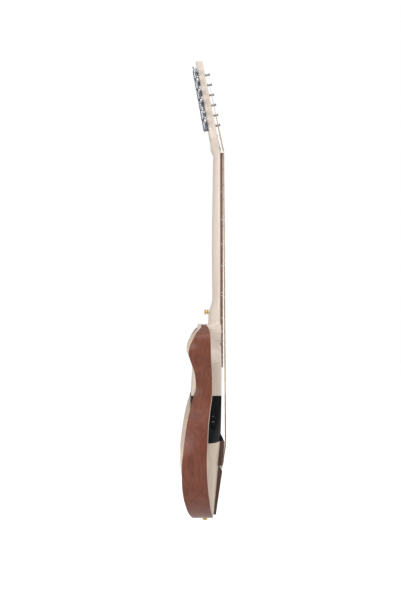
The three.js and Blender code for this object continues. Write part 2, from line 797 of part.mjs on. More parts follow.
// Truss rod: a flat bar with its adjusting nut in the pocket behind the cover
const trussNutRadius = 2.4;
const trussNutLength = 12;
const trussNutSpace = 3;

function trussRod() {
  const barEndZ = trussPocketEndZ - trussNutSpace - trussNutLength;
  const bar = box(V3(gap - trussDepth, gap - trussHalf, trussStartZ + gap),
    V3(-boardSeat - gap, trussHalf - gap, barEndZ));
  const middle = trussNutRadius + gap * 2 - trussDepth;
  return unite(bar, rod(trussNutRadius, trussNutLength, V3(middle, 0, barEndZ - gap), V3(0, 0, 1), 6));
}

const coverShares = [[0, -1], [0.2, -1], [0.55, -0.82], [0.9, -0.7], [1, -0.4], [1, 0.4], [0.9, 0.7],
  [0.55, 0.82], [0.2, 1], [0, 1]];

function trussRodCover() {
  const outline = coverShares.map(([up, across]) => V2(up, across));
  const lifts = [gap, coverRise];
  const plate = loft([outline, outline],
    (point, k) => coverPoint(point.x, point.y).addScaledVector(faceOut, lifts[k]));
  return cut(plate, ...coverScrewSeats.map((seat) => smallScrewHole(seat, faceOut)));
}

// Tuning machines: a closed case with its threaded barrel through the head, a button with its worm, and
// a post with its gear

function tunerHousing(k) {
  const face = headThicknessAt(k);
  const top = wormRise + wormRadius + gap + caseWall;
  const bottom = -gearTip - gap - caseWall;
  const shell = plateX(roundedRect(-caseSide, caseSide, bottom, top, caseCorner), -caseDepth, -gap);
  const pin = rod(pinRadius, pinReach + gap + half, V3(-gap - half, pinPlace, 0), V3(1, 0, 0), 6);
  const barrel = rod(barrelRadius, face + gap * 3 + half, V3(-gap * 2, 0, 0), V3(1, 0, 0), 10);
  const flange = turned([[0, 0], [flangeRadius, 0], [flangeRadius, flangeHeight * 0.7],
    [flangeRadius * 0.86, flangeHeight], [0, flangeHeight]], V3(face + gap, 0, 0), V3(1, 0, 0), 10);
  const bore = rod(postShaft + gap, face + flangeHeight + overrun * 2, V3(-overrun, 0, 0), V3(1, 0, 0), 10);
  const roomDepth = caseDepth - caseWall * 2 - gap;
  const gearRoom = rod(gearTip + gap, roomDepth, V3(-gap - caseWall, 0, 0), V3(-1, 0, 0), 12);
  const room = wormRadius + gap;
  const wormRoom = rod(room, wormHalf * 2 + gap * 2, V3(gearX, -wormHalf - gap, wormRise), V3(0, 1, 0), 8);
  const shaftHole = rod(wormShaft + gap, caseSide + overrun, V3(gearX, 0, wormRise), V3(0, -1, 0), 8);
  return cut(unite(shell, pin, barrel, flange), bore, gearRoom, wormRoom, shaftHole);
}

// Worm and button on one shaft, drawn along -Y from the middle of the worm; each ring is a place, a
// long half and a thin half.
function tunerButton() {
  const end = -buttonStart - buttonLength;
  const neckEnd = -caseSide - gap * 2;
  const rings = [
    [wormHalf, wormRadius],
    [-wormHalf, wormRadius],
    [-wormHalf, wormShaft],
    [neckEnd, wormShaft],
    [neckEnd, collarRadius],
    [neckEnd - collarLength, collarRadius],
    [neckEnd - collarLength, wormShaft * 1.2],
    [-buttonStart, wormShaft * 1.2],
    [-buttonStart, buttonLong * 0.5, buttonThick * 0.7],
    [-buttonStart - buttonLength * 0.18, buttonLong * 0.88, buttonThick * 0.94],
    [-buttonStart - buttonLength * 0.45, buttonLong, buttonThick],
    [end + buttonLength * 0.2, buttonLong * 0.96, buttonThick],
    [end + buttonLength * 0.05, buttonLong * 0.8, buttonThick * 0.8],
    [end, buttonLong * 0.55, buttonThick * 0.45],
  ];
  const sides = 8;
  const step = 0.02;
  const ovals = rings.map(([, long, thick = long]) => Array.from({ length: sides }, (_, i) => {
    const angle = Math.PI * 2 * i / sides;
    return V2(Math.cos(angle) * thick, Math.sin(angle) * long);
  }));
  return loft(ovals, (point, k) => V3(point.x, rings[k][0] - k * step, point.y));
}

function tunerPost(k) {
  const face = headThicknessAt(k);
  const gearBack = gearX - gearThickness * half;
  const neckStart = face + flangeHeight + gap * 3;
  const tip = face + postRise;
  const profile = [
    [0, gearBack - half], [postShaft, gearBack - half], [postShaft, neckStart], [postWaist, neckStart + half],
    [postWaist, tip - postCapHeight - half], [postCap, tip - postCapHeight], [postCap, tip - half],
    [postCap * 0.8, tip], [0, tip],
  ];
  const outline = Array.from({ length: gearTeeth }, (_, tooth) => [[0, gearRoot], [0.35, gearTip],
    [0.65, gearTip]].map(([share, radius]) => {
    const angle = Math.PI * 2 * (tooth + share) / gearTeeth;
    return V2(Math.cos(angle) * radius, Math.sin(angle) * radius);
  })).flat();
  const gear = plateX(new THREE.Shape(outline), gearBack, gearBack + gearThickness);
  const hole = rod(postHole, postWaist * 4, V3(face + postWaistRise, -postWaist * 2, 0), V3(0, 1, 0), 6);
  return cut(unite(turned(profile, V3(0, 0, 0), V3(1, 0, 0), 8), gear), hole);
}

// Lower body: the arched piece below the control housing, with a pocket for the core

const lowerShares = [0, 0.004, 0.012, 0.029, 0.06, 0.11, 0.19, 0.29, 0.42, 0.56, 0.7, 0.83, 0.93];

// Pickup lead: from the treble end of the pickup strip down into the body and up into the housing
const slotFloorX = 1.2;
const piezoHeight = 1.5;
const piezoHalfWidth = 1.2;
const leadRadius = 0.8;
const leadY = 30;
const leadDeepX = -30;
const leadBend = 4;
const leadEndZ = housingBottomZ + 18;

function leadTube(radius) {
  const startX = slotFloorX + gap + piezoHeight * half;
  return tube([V3(startX, leadY, saddleZ), V3(leadDeepX + leadBend, leadY, saddleZ),
    V3(leadDeepX + leadBend * 0.3, leadY, saddleZ + leadBend * 0.3), V3(leadDeepX, leadY, saddleZ + leadBend),
    V3(leadDeepX, leadY, leadEndZ)], radius, 8);
}

function lowerBody() {
  const stations = [...lowerShares.map((share) => share * housingBottomZ), housingBottomZ - gap];
  const blank = loft(stations.map((z) => bodyRing(z)), level(stations));
  const pocket = box(V3(coreBackX - gap, -coreHalf - gap, coreEndZ - gap),
    V3(coreFrontX + gap, coreHalf + gap, housingBottomZ + overrun));
  return cut(blank, pocket, leadTube(leadRadius + gap), ...tenonHoles(), strapHole(tailSeat, tailOut));
}

// The front of the body, grown by a small clearance, that scribes what is glued on it.
function bodyScribe() {
  const stations = lowerShares.map((share) => share * housingBottomZ);
  const rings = [...stations, housingBottomZ].map((z) => bodyRing(z, bodyBackAt(z), gap));
  return loft(rings, level([-overrun, ...stations.slice(1), housingBottomZ + overrun]));
}

// Control housing: a shell round the core, open at the back, with a ramp in front of the bridge

const housingWall = 2.6;
const bridgeHalf = 38;
const rampTopX = 5.5;
const rampLength = 11;
const wheelRadius = 12;
const wheelThickness = 7;
const wheelX = -19.5;
const wheelPlaces = [housingTopZ - 37.5, housingBottomZ + 37.5];
const wheelStandOut = 5;
const wheelFit = 0.6;
const wheelBore = 2.3;
const wheelRibs = 24;
const wheelRibDepth = 0.4;
const jackX = -26;
const lineJack = { z: housingTopZ - 11.5, bore: 3.3, barrel: 4.9, body: 7, length: 22, depth: 22, ring: 2.2 };
const phonesJack = {
  z: housingTopZ - 24, bore: 1.8, barrel: 3.2, body: 4.6, length: 13, depth: 13, ring: 1.6,
};
const supplyJack = {
  z: housingTopZ - 33.9, bore: 2.4, barrel: 3.2, body: 4.4, length: 11, depth: 9, ring: 1.4,
};
const powerButtonZ = housingTopZ - 54.5;
const powerButtonRadius = 3.3;

const housingStyle = { back: housingBackX, drop: housingBackDrop, power: housingBackPower };

function housingOuter() {
  return loft(housingStations.map((z) => bodyRing(z, housingStyle)), level(housingStations));
}

// The stations of the housing, the first and the last moved inside by an inset.
function insideStations(inset) {
  return [housingBottomZ + inset, ...housingStations.slice(1, -1), housingTopZ - inset];
}

// The room inside the walls, running out through the back.
function housingRoom() {
  const stations = insideStations(housingWall);
  const rings = stations.map((z) => {
    const [drop, power] = bodyCrownAt(z);
    const wide = bodyHalfAt(z) - housingWall;
    const front = bodyFrontAt(z) - housingWall - drop;
    return [...arch(wide, drop, power, frontSteps).map(([y, x]) => V2(front + x, y)),
      V2(housingBackX - overrun, -wide), V2(housingBackX - overrun, wide)];
  });
  return loft(rings, level(stations));
}

// A place on a side wall at a height, and the way out of the wall there.
function wallAt(side, z) {
  const step = half;
  const lean = (bodyHalfAt(z + step) - bodyHalfAt(z - step)) / (step * 2);
  return { at: V3(jackX, side * bodyHalfAt(z), z), out: V3(0, side, -lean).normalize() };
}

function wheelCentre(k) {
  const z = wheelPlaces[k];
  return V3(wheelX, wheelRadius - bodyHalfAt(z) - wheelStandOut, z);
}

function controlHousing() {
  const rampEndZ = housingBottomZ + rampLength;
  const rampRing = [V2(-overrun, housingBottomZ), V2(rampTopX, housingBottomZ), V2(0, rampEndZ),
    V2(-overrun, rampEndZ)];
  const ramp = loft([rampRing, rampRing], (point, k) => V3(point.x, (k * 2 - 1) * bridgeHalf, point.y));
  const coreRoom = box(V3(coreBackX - gap, -coreHalf - gap, housingBottomZ - overrun),
    V3(coreFrontX + gap, coreHalf + gap, housingTopZ + overrun));
  const wheelSlots = wheelPlaces.map((_, k) => {
    const thick = wheelThickness + wheelFit * 2;
    return rod(wheelRadius + wheelFit, thick, wheelCentre(k).add(V3(-thick * half, 0, 0)), V3(1, 0, 0), 24);
  });
  const places = [
    ...[lineJack, phonesJack, supplyJack].map(({ z, barrel }) => [z, barrel]),
    [powerButtonZ, powerButtonRadius],
  ];
  const holes = places.map(([z, radius]) => {
    const { at, out } = wallAt(1, z);
    return rod(radius + gap, overrun * 4, at.clone().addScaledVector(out, -overrun * 2), out);
  });
  return cut(unite(housingOuter(), ramp), housingRoom(), coreRoom, leadTube(leadRadius + gap), ...wheelSlots,
    ...holes);
}

// Back cover with its battery door

const batterySize = V3(17.5, 26.5, 48.5);
const batteryLow = V3(coverFrontX + gap * 2, -coreHalf - gap * 4 - batterySize.y, housingBottomZ + 13.5);
const doorMargin = 1.8;
const doorLow = V2(batteryLow.y - doorMargin, batteryLow.z - doorMargin);
const doorHigh = V2(batteryLow.y + batterySize.y + doorMargin, batteryLow.z + batterySize.z + doorMargin);
const grooveRadius = 1.6;
const grooveInset = 5;

// Sides of the cover: straight between heights, so that it follows the walls.
function backCover() {
  const inset = housingWall + gap * 1.6;
  const heights = insideStations(housingWall + gap);
  const outline = [...heights.map((z) => V2(bodyHalfAt(z) - inset, z)),
    ...[...heights].reverse().map((z) => V2(inset - bodyHalfAt(z), z))];
  const plate = plateX(new THREE.Shape(outline), housingBackX - overrun, coverFrontX);
  const doorway = box(V3(housingBackX - overrun * 2, doorLow.x - gap, doorLow.y - gap),
    V3(coverFrontX + overrun, doorHigh.x + gap, doorHigh.y + gap));
  const screwHoles = backScrewSeats.map((seat) => smallScrewHole(seat, heelOut));
  return cut(common(plate, housingOuter()), doorway, ...screwHoles);
}

function batteryDoor() {
  const panel = box(V3(housingBackX, doorLow.x, doorLow.y), V3(coverFrontX, doorHigh.x, doorHigh.y));
  const groove = rod(grooveRadius, batterySize.z * half, V3(housingBackX - grooveRadius * 0.4,
    doorLow.x + grooveInset, batteryLow.z + batterySize.z * 0.25), V3(0, 0, 1), 10);
  return cut(panel, groove);
}

const studRadius = 2.6;
const studHeight = 1.6;
const studShares = [0.27, 0.73];

function battery() {
  const middle = batteryLow.x + batterySize.x * half;
  const top = batteryLow.z + batterySize.z - half;
  const studs = studShares.map((share) => rod(studRadius, studHeight + half,
    V3(middle, batteryLow.y + batterySize.y * share, top), V3(0, 0, 1), 12));
  return unite(box(batteryLow, batteryLow.clone().add(batterySize)), ...studs);
}

// Electronics in the housing

const boardThick = 1.6;
const boardStandOff = 2.4;
const boardBackX = -52;
const boardFrontX = -22;
const boardInset = 8;
const spacerRadius = 2;
const spacerShares = [[0.15, 0.05], [0.85, 0.05], [0.15, 0.95], [0.85, 0.95]];
const chipSize = V3(7, 1.8, 12);
const canRadius = 3;
const canHeight = 5;

// Circuit board on the treble side of the core, with its spacers and its largest components
function circuitBoard() {
  const low = V3(boardBackX, coreHalf + boardStandOff, housingBottomZ + boardInset * 2);
  const high = V3(boardFrontX, coreHalf + boardStandOff + boardThick, housingTopZ - boardInset);
  const spacers = spacerShares.map(([across, up]) => rod(spacerRadius, boardStandOff,
    V3(mix(low.x, high.x, across), coreHalf + gap, mix(low.z, high.z, up)), V3(0, 1, 0), 10));
  const middle = (low.x + high.x) * half;
  const chipLow = V3(middle - chipSize.x * half, high.y - half, mix(low.z, high.z, 0.2));
  const chip = box(chipLow, chipLow.clone().add(chipSize));
  const can = rod(canRadius, canHeight, V3(middle, high.y - half, mix(low.z, high.z, 0.6)), V3(0, 1, 0), 12);
  return unite(box(low, high), chip, can, ...spacers);
}

// A ribbed thumbwheel, drawn about its own middle with its axis along x
function wheel() {
  const outline = Array.from({ length: wheelRibs * 2 }, (_, i) => {
    const angle = Math.PI * (i + half) / wheelRibs;
    const radius = wheelRadius - (i % 2) * wheelRibDepth;
    return V2(Math.cos(angle) * radius, Math.sin(angle) * radius);
  });
  const disc = plateX(new THREE.Shape(outline), -wheelThickness * half, wheelThickness * half);
  return cut(disc, rod(wheelBore, wheelThickness * 2, V3(-wheelThickness, 0, 0), V3(1, 0, 0), 12));
}

const potRadius = 3.4;
const potLength = 8;
const potShaft = 2;

// Both potentiometers on their small board, which stands against the core
function potBoard() {
  const backX = wheelX - wheelThickness * half - gap * 2 - potLength;
  const pots = wheelPlaces.flatMap((_, k) => {
    const { y, z } = wheelCentre(k);
    return [rod(potRadius, potLength + half, V3(backX - half, y, z), V3(1, 0, 0)),
      rod(potShaft, potLength + wheelThickness, V3(backX, y, z), V3(1, 0, 0), 12)];
  });
  const ends = [wheelPlaces[1] - boardInset, wheelPlaces[0] + boardInset];
  const between = housingStations.filter((z) => z > ends[0] && z < ends[1]);
  const edge = [ends[0], ...between, ends[1]].map((z) => V2(housingWall + gap * 2 - bodyHalfAt(z), z));
  const outline = [V2(-coreHalf - gap, edge[0].y), ...edge, V2(-coreHalf - gap, edge[edge.length - 1].y)];
  return unite(plateX(new THREE.Shape(outline), backX - boardThick, backX), ...pots);
}

// A panel socket: barrel in the wall, body inside, ring nut outside, bore from the outside
const nutWidth = 1.6;

function socket({ z, bore, barrel, body, length, depth, ring }) {
  const { at, out } = wallAt(1, z);
  const inner = at.clone().addScaledVector(out, -housingWall - gap * 4);
  const inward = out.clone().negate();
  const face = at.clone().addScaledVector(out, gap * 2);
  const bar = rod(barrel, housingWall + ring + gap * 6, inner.clone().addScaledVector(inward, gap), out);
  const can = rod(body, length, inner, inward);
  const nutRing = rod(barrel + nutWidth, ring, face, out, 18);
  const hole = rod(bore, depth + overrun, face.clone().addScaledVector(out, ring + overrun), inward);
  return cut(unite(bar, can, nutRing), hole);
}

// Power button: a flanged cap that is pushed through the wall onto the switch
const buttonTravel = 1.5;
const capFlange = 1.2;
const capFlangeHeight = 1.2;
const capProud = 2.2;
const switchHalf = 5;
const switchDepth = 7;
const switchLegHalf = 3;

const powerPlace = wallAt(1, powerButtonZ);

function powerButton() {
  const inside = -housingWall - gap - capFlangeHeight;
  const r = powerButtonRadius;
  return turned([[0, inside], [r + capFlange, inside], [r + capFlange, inside + capFlangeHeight],
    [r, inside + capFlangeHeight], [r, capProud - half], [r * 0.85, capProud], [0, capProud]],
  powerPlace.at, powerPlace.out, 12);
}

// The switch on its leg, which stands on the circuit board
function powerSwitch() {
  const topDepth = housingWall + capFlangeHeight + buttonTravel + gap * 2;
  const top = powerPlace.at.clone().addScaledVector(powerPlace.out, -topDepth);
  const can = box(V3(-switchHalf, -switchDepth, -switchHalf), V3(switchHalf, 0, switchHalf));
  const middle = top.clone().addScaledVector(powerPlace.out, -switchDepth * half);
  const foot = coreHalf + boardStandOff + boardThick + gap;
  const leg = box(V3(middle.x - switchLegHalf, foot, middle.z - switchLegHalf),
    V3(middle.x + switchLegHalf, middle.y, middle.z + switchLegHalf));
  return unite(aim(can, top, powerPlace.out), leg);
}

// Bridge, saddle and pickup

const bridgeProfile = [[5.4, 0.3], [6.8, 4], [6.8, 11.5], [5.7, 23.5], [4.8, 36.5], [3.2, 49.5], [2.4, 54.7],
  [1.7, 55.7]];
const bridgeEnds = [[-1, 0.35], [-0.94, 0.72], [-0.85, 0.97], [0, 1], [0.85, 0.97], [0.94, 0.72], [1, 0.35]];
const bridgeRim = 3;
const saddleHalf = 33;
const saddleThickness = 3;
const saddleSag = 1.2;

function bridge() {
  const rings = bridgeEnds.map(([, lift]) => {
    const rim = (x) => mix(-bridgeRim, x, lift);
    const top = bridgeProfile.map(([x, down]) => V2(rim(x), housingBottomZ - down));
    return [V2(-frontDrop, top[0].y), ...top, V2(-frontDrop, top[top.length - 1].y)];
  });
  const blank = loft(rings, (point, k) => V3(point.x, bridgeEnds[k][0] * bridgeHalf, point.y));
  const slotSide = saddleThickness * half + gap;
  const slot = box(V3(slotFloorX, -saddleHalf - gap, saddleZ - slotSide),
    V3(stringRiseSaddle + overrun, saddleHalf + gap, saddleZ + slotSide));
  return cut(blank, bodyScribe(), slot, leadTube(leadRadius + gap));
}

function saddle() {
  const side = saddleThickness * half;
  const bottom = slotFloorX + piezoHeight + gap * 2;
  const crest = stringRiseSaddle - stringGauges[stringGauges.length - 1] * half - gap;
  const rings = acrossShares.map((share) => {
    const top = crest - (Math.abs(share) === 1 ? saddleSag : 0);
    return [V2(bottom, saddleZ - side), V2(top - side * 0.3, saddleZ - side), V2(top, saddleZ - side * 0.3),
      V2(top, saddleZ + side * 0.4), V2(top - side * 0.4, saddleZ + side), V2(bottom, saddleZ + side)];
  });
  return loft(rings, (point, k) => V3(point.x, acrossShares[k] * saddleHalf, point.y));
}

function piezoStrip() {
  const floor = slotFloorX + gap;
  const strip = box(V3(floor, half - saddleHalf, saddleZ - piezoHalfWidth),
    V3(floor + piezoHeight, saddleHalf - half, saddleZ + piezoHalfWidth));
  return unite(strip, leadTube(leadRadius));
}

// Tail strip: a long wedge glued on the lower body
const stripPlaces = [[4.4, 4.3, 13], [102.5, 8.7, 21], [108.4, 4.7, 21]];
const stripBevel = 1.4;

function tailStrip() {
  const rings = stripPlaces.map(([z, rise, side]) => {
    const base = bodyFrontAt(z);
    const top = base + rise;
    return [V2(base - frontDrop, side), V2(top - stripBevel, side), V2(top, side - stripBevel),
      V2(top, stripBevel - side), V2(top - stripBevel, -side), V2(base - frontDrop, -side)];
  });
  return cut(loft(rings, (point, k) => V3(point.x, point.y, stripPlaces[k][0])), bodyScribe());
}

// Strap buttons: waisted gold buttons, each held by a screw with a flat head

const strapHeadRadius = 3.8;
const strapHeadHeight = 0.9;
const strapTip = 3;
const waistShares = [[0.95, 0], [1, 0.08], [0.86, 0.2], [0.58, 0.42], [0.55, 0.58], [0.78, 0.76], [1, 0.84],
  [0.97, 0.94], [0.8, 1]];

function strapButton(seat, out) {
  const bore = strapScrewRadius + gap;
  const top = strapButtonHeight;
  return turned([[bore, 0], ...waistShares.map(([r, h]) => [r * strapButtonRadius, h * top]), [bore, top],
    [bore, 0]], seat, out, 12);
}

function strapScrew(seat, out) {
  const r = strapScrewRadius;
  const seatRise = strapButtonHeight + gap;
  const crest = seatRise + strapHeadHeight;
  return turned([[0, -strapScrewDepth], [r, strapTip - strapScrewDepth], [r, seatRise],
    [strapHeadRadius, seatRise], [strapHeadRadius, seatRise + strapHeadHeight * half],
    [strapHeadRadius * 0.88, crest], [0, crest]], seat, out, 10);
}

// Assembly

const guitar = new THREE.Group();

function add(parent, name, geometry, material) {
  const mesh = new THREE.Mesh(geometry, material);
  mesh.name = name;
  parent.add(mesh);
  return mesh;
}

add(guitar, 'neck_spine', neckSpine(), maple);
add(guitar, 'fretboard', fretboard(), rosewood);
add(guitar, 'nut', nut(), bone);
add(guitar, 'truss_rod', trussRod(), steel);
add(guitar, 'truss_rod_cover', trussRodCover(), blackPlastic);
['bass', 'treble', 'upper'].forEach((place, k) => {
  add(guitar, `cover_screw_${place}`, smallScrew(coverScrewSeats[k], faceOut), steel);
});

add(guitar, 'lower_body', lowerBody(), maple);
add(guitar, 'bridge', bridge(), rosewood);
add(guitar, 'saddle', saddle(), bone);
add(guitar, 'pickup_strip', piezoStrip(), steel);
add(guitar, 'tail_strip', tailStrip(), rosewood);

add(guitar, 'control_housing', controlHousing(), blackPlastic);
add(guitar, 'back_cover', backCover(), blackPlastic);
add(guitar, 'back_screw_lower', smallScrew(backScrewSeats[0], heelOut, backScrewLength), steel);
add(guitar, 'back_screw_upper', smallScrew(backScrewSeats[1], heelOut, backScrewLength), steel);
add(guitar, 'battery_door', batteryDoor(), blackPlastic);
add(guitar, 'battery', battery(), batteryGrey);
add(guitar, 'circuit_board', circuitBoard(), boardGreen);
add(guitar, 'pot_board', potBoard(), steel);
['volume_wheel', 'tone_wheel'].forEach((name, k) => {
  add(guitar, name, wheel(), blackPlastic).position.copy(wheelCentre(k));
});
add(guitar, 'line_jack', socket(lineJack), chrome);
add(guitar, 'phones_jack', socket(phonesJack), chrome);
add(guitar, 'supply_jack', socket(supplyJack), blackPlastic);
add(guitar, 'power_button', powerButton(), castMetal);
add(guitar, 'power_switch', powerSwitch(), steel);

// Side frames, cut flat where they meet the tail and the heel block
const blockRoom = box(V3(-frameReach - overrun, -blockHalf - gap, -overrun),
  V3(overrun, blockHalf + gap, frameLength + overrun));
for (const [name, side] of [['bass', -1], ['treble', 1]]) {
  const core = cut(frameLayer(side, frameSkin + gap, frameSkin + gap + frameCore, 0), blockRoom);
  add(guitar, `${name}_frame_core`, unite(core, ...tenons(side, tenonRadius, tenonReach)), maple);
  add(guitar, `${name}_frame_skin`, cut(frameLayer(side, 0, frameSkin, coreProud), blockRoom), mahogany);
}

add(guitar, 'heel_strap_button', strapButton(heelSeat, heelOut), gold);
add(guitar, 'heel_strap_screw', strapScrew(heelSeat, heelOut), gold);
add(guitar, 'tail_strap_button', strapButton(tailSeat, tailOut), gold);
add(guitar, 'tail_strap_screw', strapScrew(tailSeat, tailOut), gold);

const buttonTurns = [-0.75, 0.2, 0.55, 0.5, -0.3, 0.35];
tunerGroups.forEach((group, k) => {
  guitar.add(group);
  add(group, `tuner_housing_${k + 1}`, tunerHousing(k), castMetal);
  const button = add(group, `tuner_button_${k + 1}`, tunerButton(), chrome);
  button.position.set(gearX, 0, wormRise);
  button.rotation.y = buttonTurns[k];
  add(group, `tuner_post_${k + 1}`, tunerPost(k), chrome);
  add(guitar, `string_${k + 1}`, string(k), k < 2 ? steel : bronze);
});

const part = new THREE.Group();
guitar.position.set(-tailSeat.x, 0, -tailSeat.z + strapButtonHeight + gap + strapHeadHeight);
part.add(guitar);

export default part;
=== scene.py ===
import bmesh
import bpy
import numpy as np
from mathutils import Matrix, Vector


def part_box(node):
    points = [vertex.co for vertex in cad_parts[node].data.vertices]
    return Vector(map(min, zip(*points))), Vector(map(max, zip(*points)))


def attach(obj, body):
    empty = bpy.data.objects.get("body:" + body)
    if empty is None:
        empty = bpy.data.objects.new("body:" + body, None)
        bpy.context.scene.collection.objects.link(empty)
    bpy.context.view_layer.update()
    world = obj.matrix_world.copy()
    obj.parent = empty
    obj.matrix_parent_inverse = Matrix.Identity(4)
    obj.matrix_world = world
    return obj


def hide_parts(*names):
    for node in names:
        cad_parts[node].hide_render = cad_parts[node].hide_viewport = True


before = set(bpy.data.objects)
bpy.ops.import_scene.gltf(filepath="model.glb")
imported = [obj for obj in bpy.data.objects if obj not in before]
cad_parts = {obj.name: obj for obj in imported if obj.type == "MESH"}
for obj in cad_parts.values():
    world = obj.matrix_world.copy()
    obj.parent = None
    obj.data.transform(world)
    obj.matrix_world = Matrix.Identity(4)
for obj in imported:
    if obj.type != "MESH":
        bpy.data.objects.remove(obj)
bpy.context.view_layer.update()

# Viewpoint. The photograph shows the bass side from about 2.6 m away, level with the middle of the guitar
# and turned a little towards its back. It is 401 by 600 pixels, with the guitar upright.
# A pixel covers 2.245 mm on the plane through the middle of the guitar.
image_height = 600
pixel_size = 0.002245
view_distance = 2.6
view_height = 0.4941
view_centre_x = -0.0101
view_drift = 0.028
camera = bpy.data.cameras.new("photo_view")
camera.sensor_fit = "VERTICAL"
camera.sensor_height = 24.0
camera.lens = camera.sensor_height * view_distance / (image_height * pixel_size)
camera_object = bpy.data.objects.new("photo_view", camera)
bpy.context.scene.collection.objects.link(camera_object)
camera_object.location = (view_centre_x - view_drift * view_distance, -view_distance, view_height)
camera_object.rotation_euler = (np.pi / 2, 0, -np.arctan(view_drift))
bpy.context.scene.camera = camera_object
bpy.context.scene.view_settings.view_transform = "Standard"


# Studio. A white room: the camera sees plain white behind the guitar, which hangs over a pale floor that
# keeps its shadow. One broad lamp stands beside the camera, one hangs overhead and one fills the front.

def place_node(tree, kind, **settings):
    """Adds a shader node to a tree. Settings that name an input set its value, the others the node's own."""
    node = tree.nodes.new(kind)
    for name, value in settings.items():
        key = name.replace("_", " ").title()
        if key in node.inputs:
            node.inputs[key].default_value = value
        else:
            setattr(node, name, value)
    return node


def wire(tree, *links):
    """Links the nodes of a tree, each link as (node, output, node, input)."""
    for giver, output, taker, entry in links:
        tree.links.new(giver.outputs[output], taker.inputs[entry])


floor_height = -0.32
floor_half = 9.0
floor_glow = 0.62
floor_corners = [(x, y, floor_height) for x, y in floor_half * np.array([(-1, -1), (1, -1), (1, 1), (-1, 1)])]
floor_mesh = bpy.data.meshes.new("floor")
floor_mesh.from_pydata(floor_corners, [], [(0, 1, 2, 3)])
floor = bpy.data.objects.new("floor", floor_mesh)
bpy.context.scene.collection.objects.link(floor)
floor_material = bpy.data.materials.new("pale_floor")
floor_material.use_nodes = True
tree = floor_material.node_tree
tree.nodes.clear()
paint = place_node(tree, "ShaderNodeBsdfDiffuse", color=(0.86, 0.86, 0.86, 1))
glow = place_node(tree, "ShaderNodeEmission", color=(1, 1, 1, 1))
path = place_node(tree, "ShaderNodeLightPath")
lift = place_node(tree, "ShaderNodeMath", operation="MULTIPLY")
lift.inputs[1].default_value = floor_glow
both = place_node(tree, "ShaderNodeAddShader")
out = place_node(tree, "ShaderNodeOutputMaterial")
wire(tree, (path, "Is Camera Ray", lift, 0), (lift, 0, glow, "Strength"), (paint, 0, both, 0),
     (glow, 0, both, 1), (both, 0, out, "Surface"))
floor_mesh.materials.append(floor_material)

world = bpy.data.worlds.new("white_room")
world.use_nodes = True
bpy.context.scene.world = world
tree = world.node_tree
tree.nodes.clear()
seen_white = place_node(tree, "ShaderNodeBackground", color=(1, 1, 1, 1), strength=1.0)
room_light = place_node(tree, "ShaderNodeBackground", color=(0.97, 0.98, 1, 1), strength=0.6)
room_gloss = place_node(tree, "ShaderNodeBackground", strength=1.0)
where = place_node(tree, "ShaderNodeTexCoord")
parts = place_node(tree, "ShaderNodeSeparateXYZ")
bands = place_node(tree, "ShaderNodeValToRGB")
stops = bands.color_ramp.elements
stops[0].color = (0.07, 0.07, 0.07, 1)
stops[1].color = (0.9, 0.9, 0.9, 1)
for place, grey in [(0.38, 0.12), (0.46, 0.7), (0.57, 0.55), (0.64, 0.13), (0.78, 0.2), (0.86, 0.9)]:
    stops.new(place).color = (grey, grey, grey, 1)
shift = place_node(tree, "ShaderNodeMapRange")
shift.inputs["From Min"].default_value = -1.0
path = place_node(tree, "ShaderNodeLightPath")
mirror = place_node(tree, "ShaderNodeMixShader")
seen = place_node(tree, "ShaderNodeMixShader")
out = place_node(tree, "ShaderNodeOutputWorld")
wire(tree, (where, "Generated", parts, 0), (parts, "Z", shift, "Value"), (shift, "Result", bands, "Fac"),
     (bands, "Color", room_gloss, "Color"), (path, "Is Glossy Ray", mirror, "Fac"),
     (room_light, 0, mirror, 1), (room_gloss, 0, mirror, 2), (path, "Is Camera Ray", seen, "Fac"),
     (mirror, 0, seen, 1), (seen_white, 0, seen, 2), (seen, 0, out, "Surface"))

guitar_middle = np.array([-0.01, 0.0, 0.5])
for name, place, wide, tall, power in [
        ("side_lamp", (-1.05, -2.4, 1.35), 1.6, 0.9, 30.0),
        ("overhead_lamp", (0.2, -0.6, 2.9), 1.8, 1.2, 13.0),
        ("front_lamp", (2.6, -0.4, 1.1), 1.4, 1.8, 14.0)]:
    lamp = bpy.data.lights.new(name, "AREA")
    lamp.shape = "RECTANGLE"
    lamp.size = wide
    lamp.size_y = tall
    lamp.energy = power
    holder = bpy.data.objects.new(name, lamp)
    bpy.context.scene.collection.objects.link(holder)
    holder.location = place
    holder.rotation_euler = Vector(guitar_middle - np.array(place)).to_track_quat("-Z", "Y").to_euler()


# Neck and spine. One piece of pale maple from the head to the tail: the angled head, the D-shaped neck, the
# heel, the upper body and the core inside the lower body. It is carved from the plank and lacquered satin.

def shader_group(name, inputs, outputs):
    """A new group of shader nodes with named number or vector inputs, as (name, kind, value), and outputs."""
    group = bpy.data.node_groups.new(name, "ShaderNodeTree")
    for label, kind, value in inputs:
        socket = group.interface.new_socket(label, in_out="INPUT", socket_type="NodeSocket" + kind)
        if kind == "Float":
            socket.default_value = value
    for label, kind in outputs:
        group.interface.new_socket(label, in_out="OUTPUT", socket_type="NodeSocket" + kind)
    return group, place_node(group, "NodeGroupInput"), place_node(group, "NodeGroupOutput")


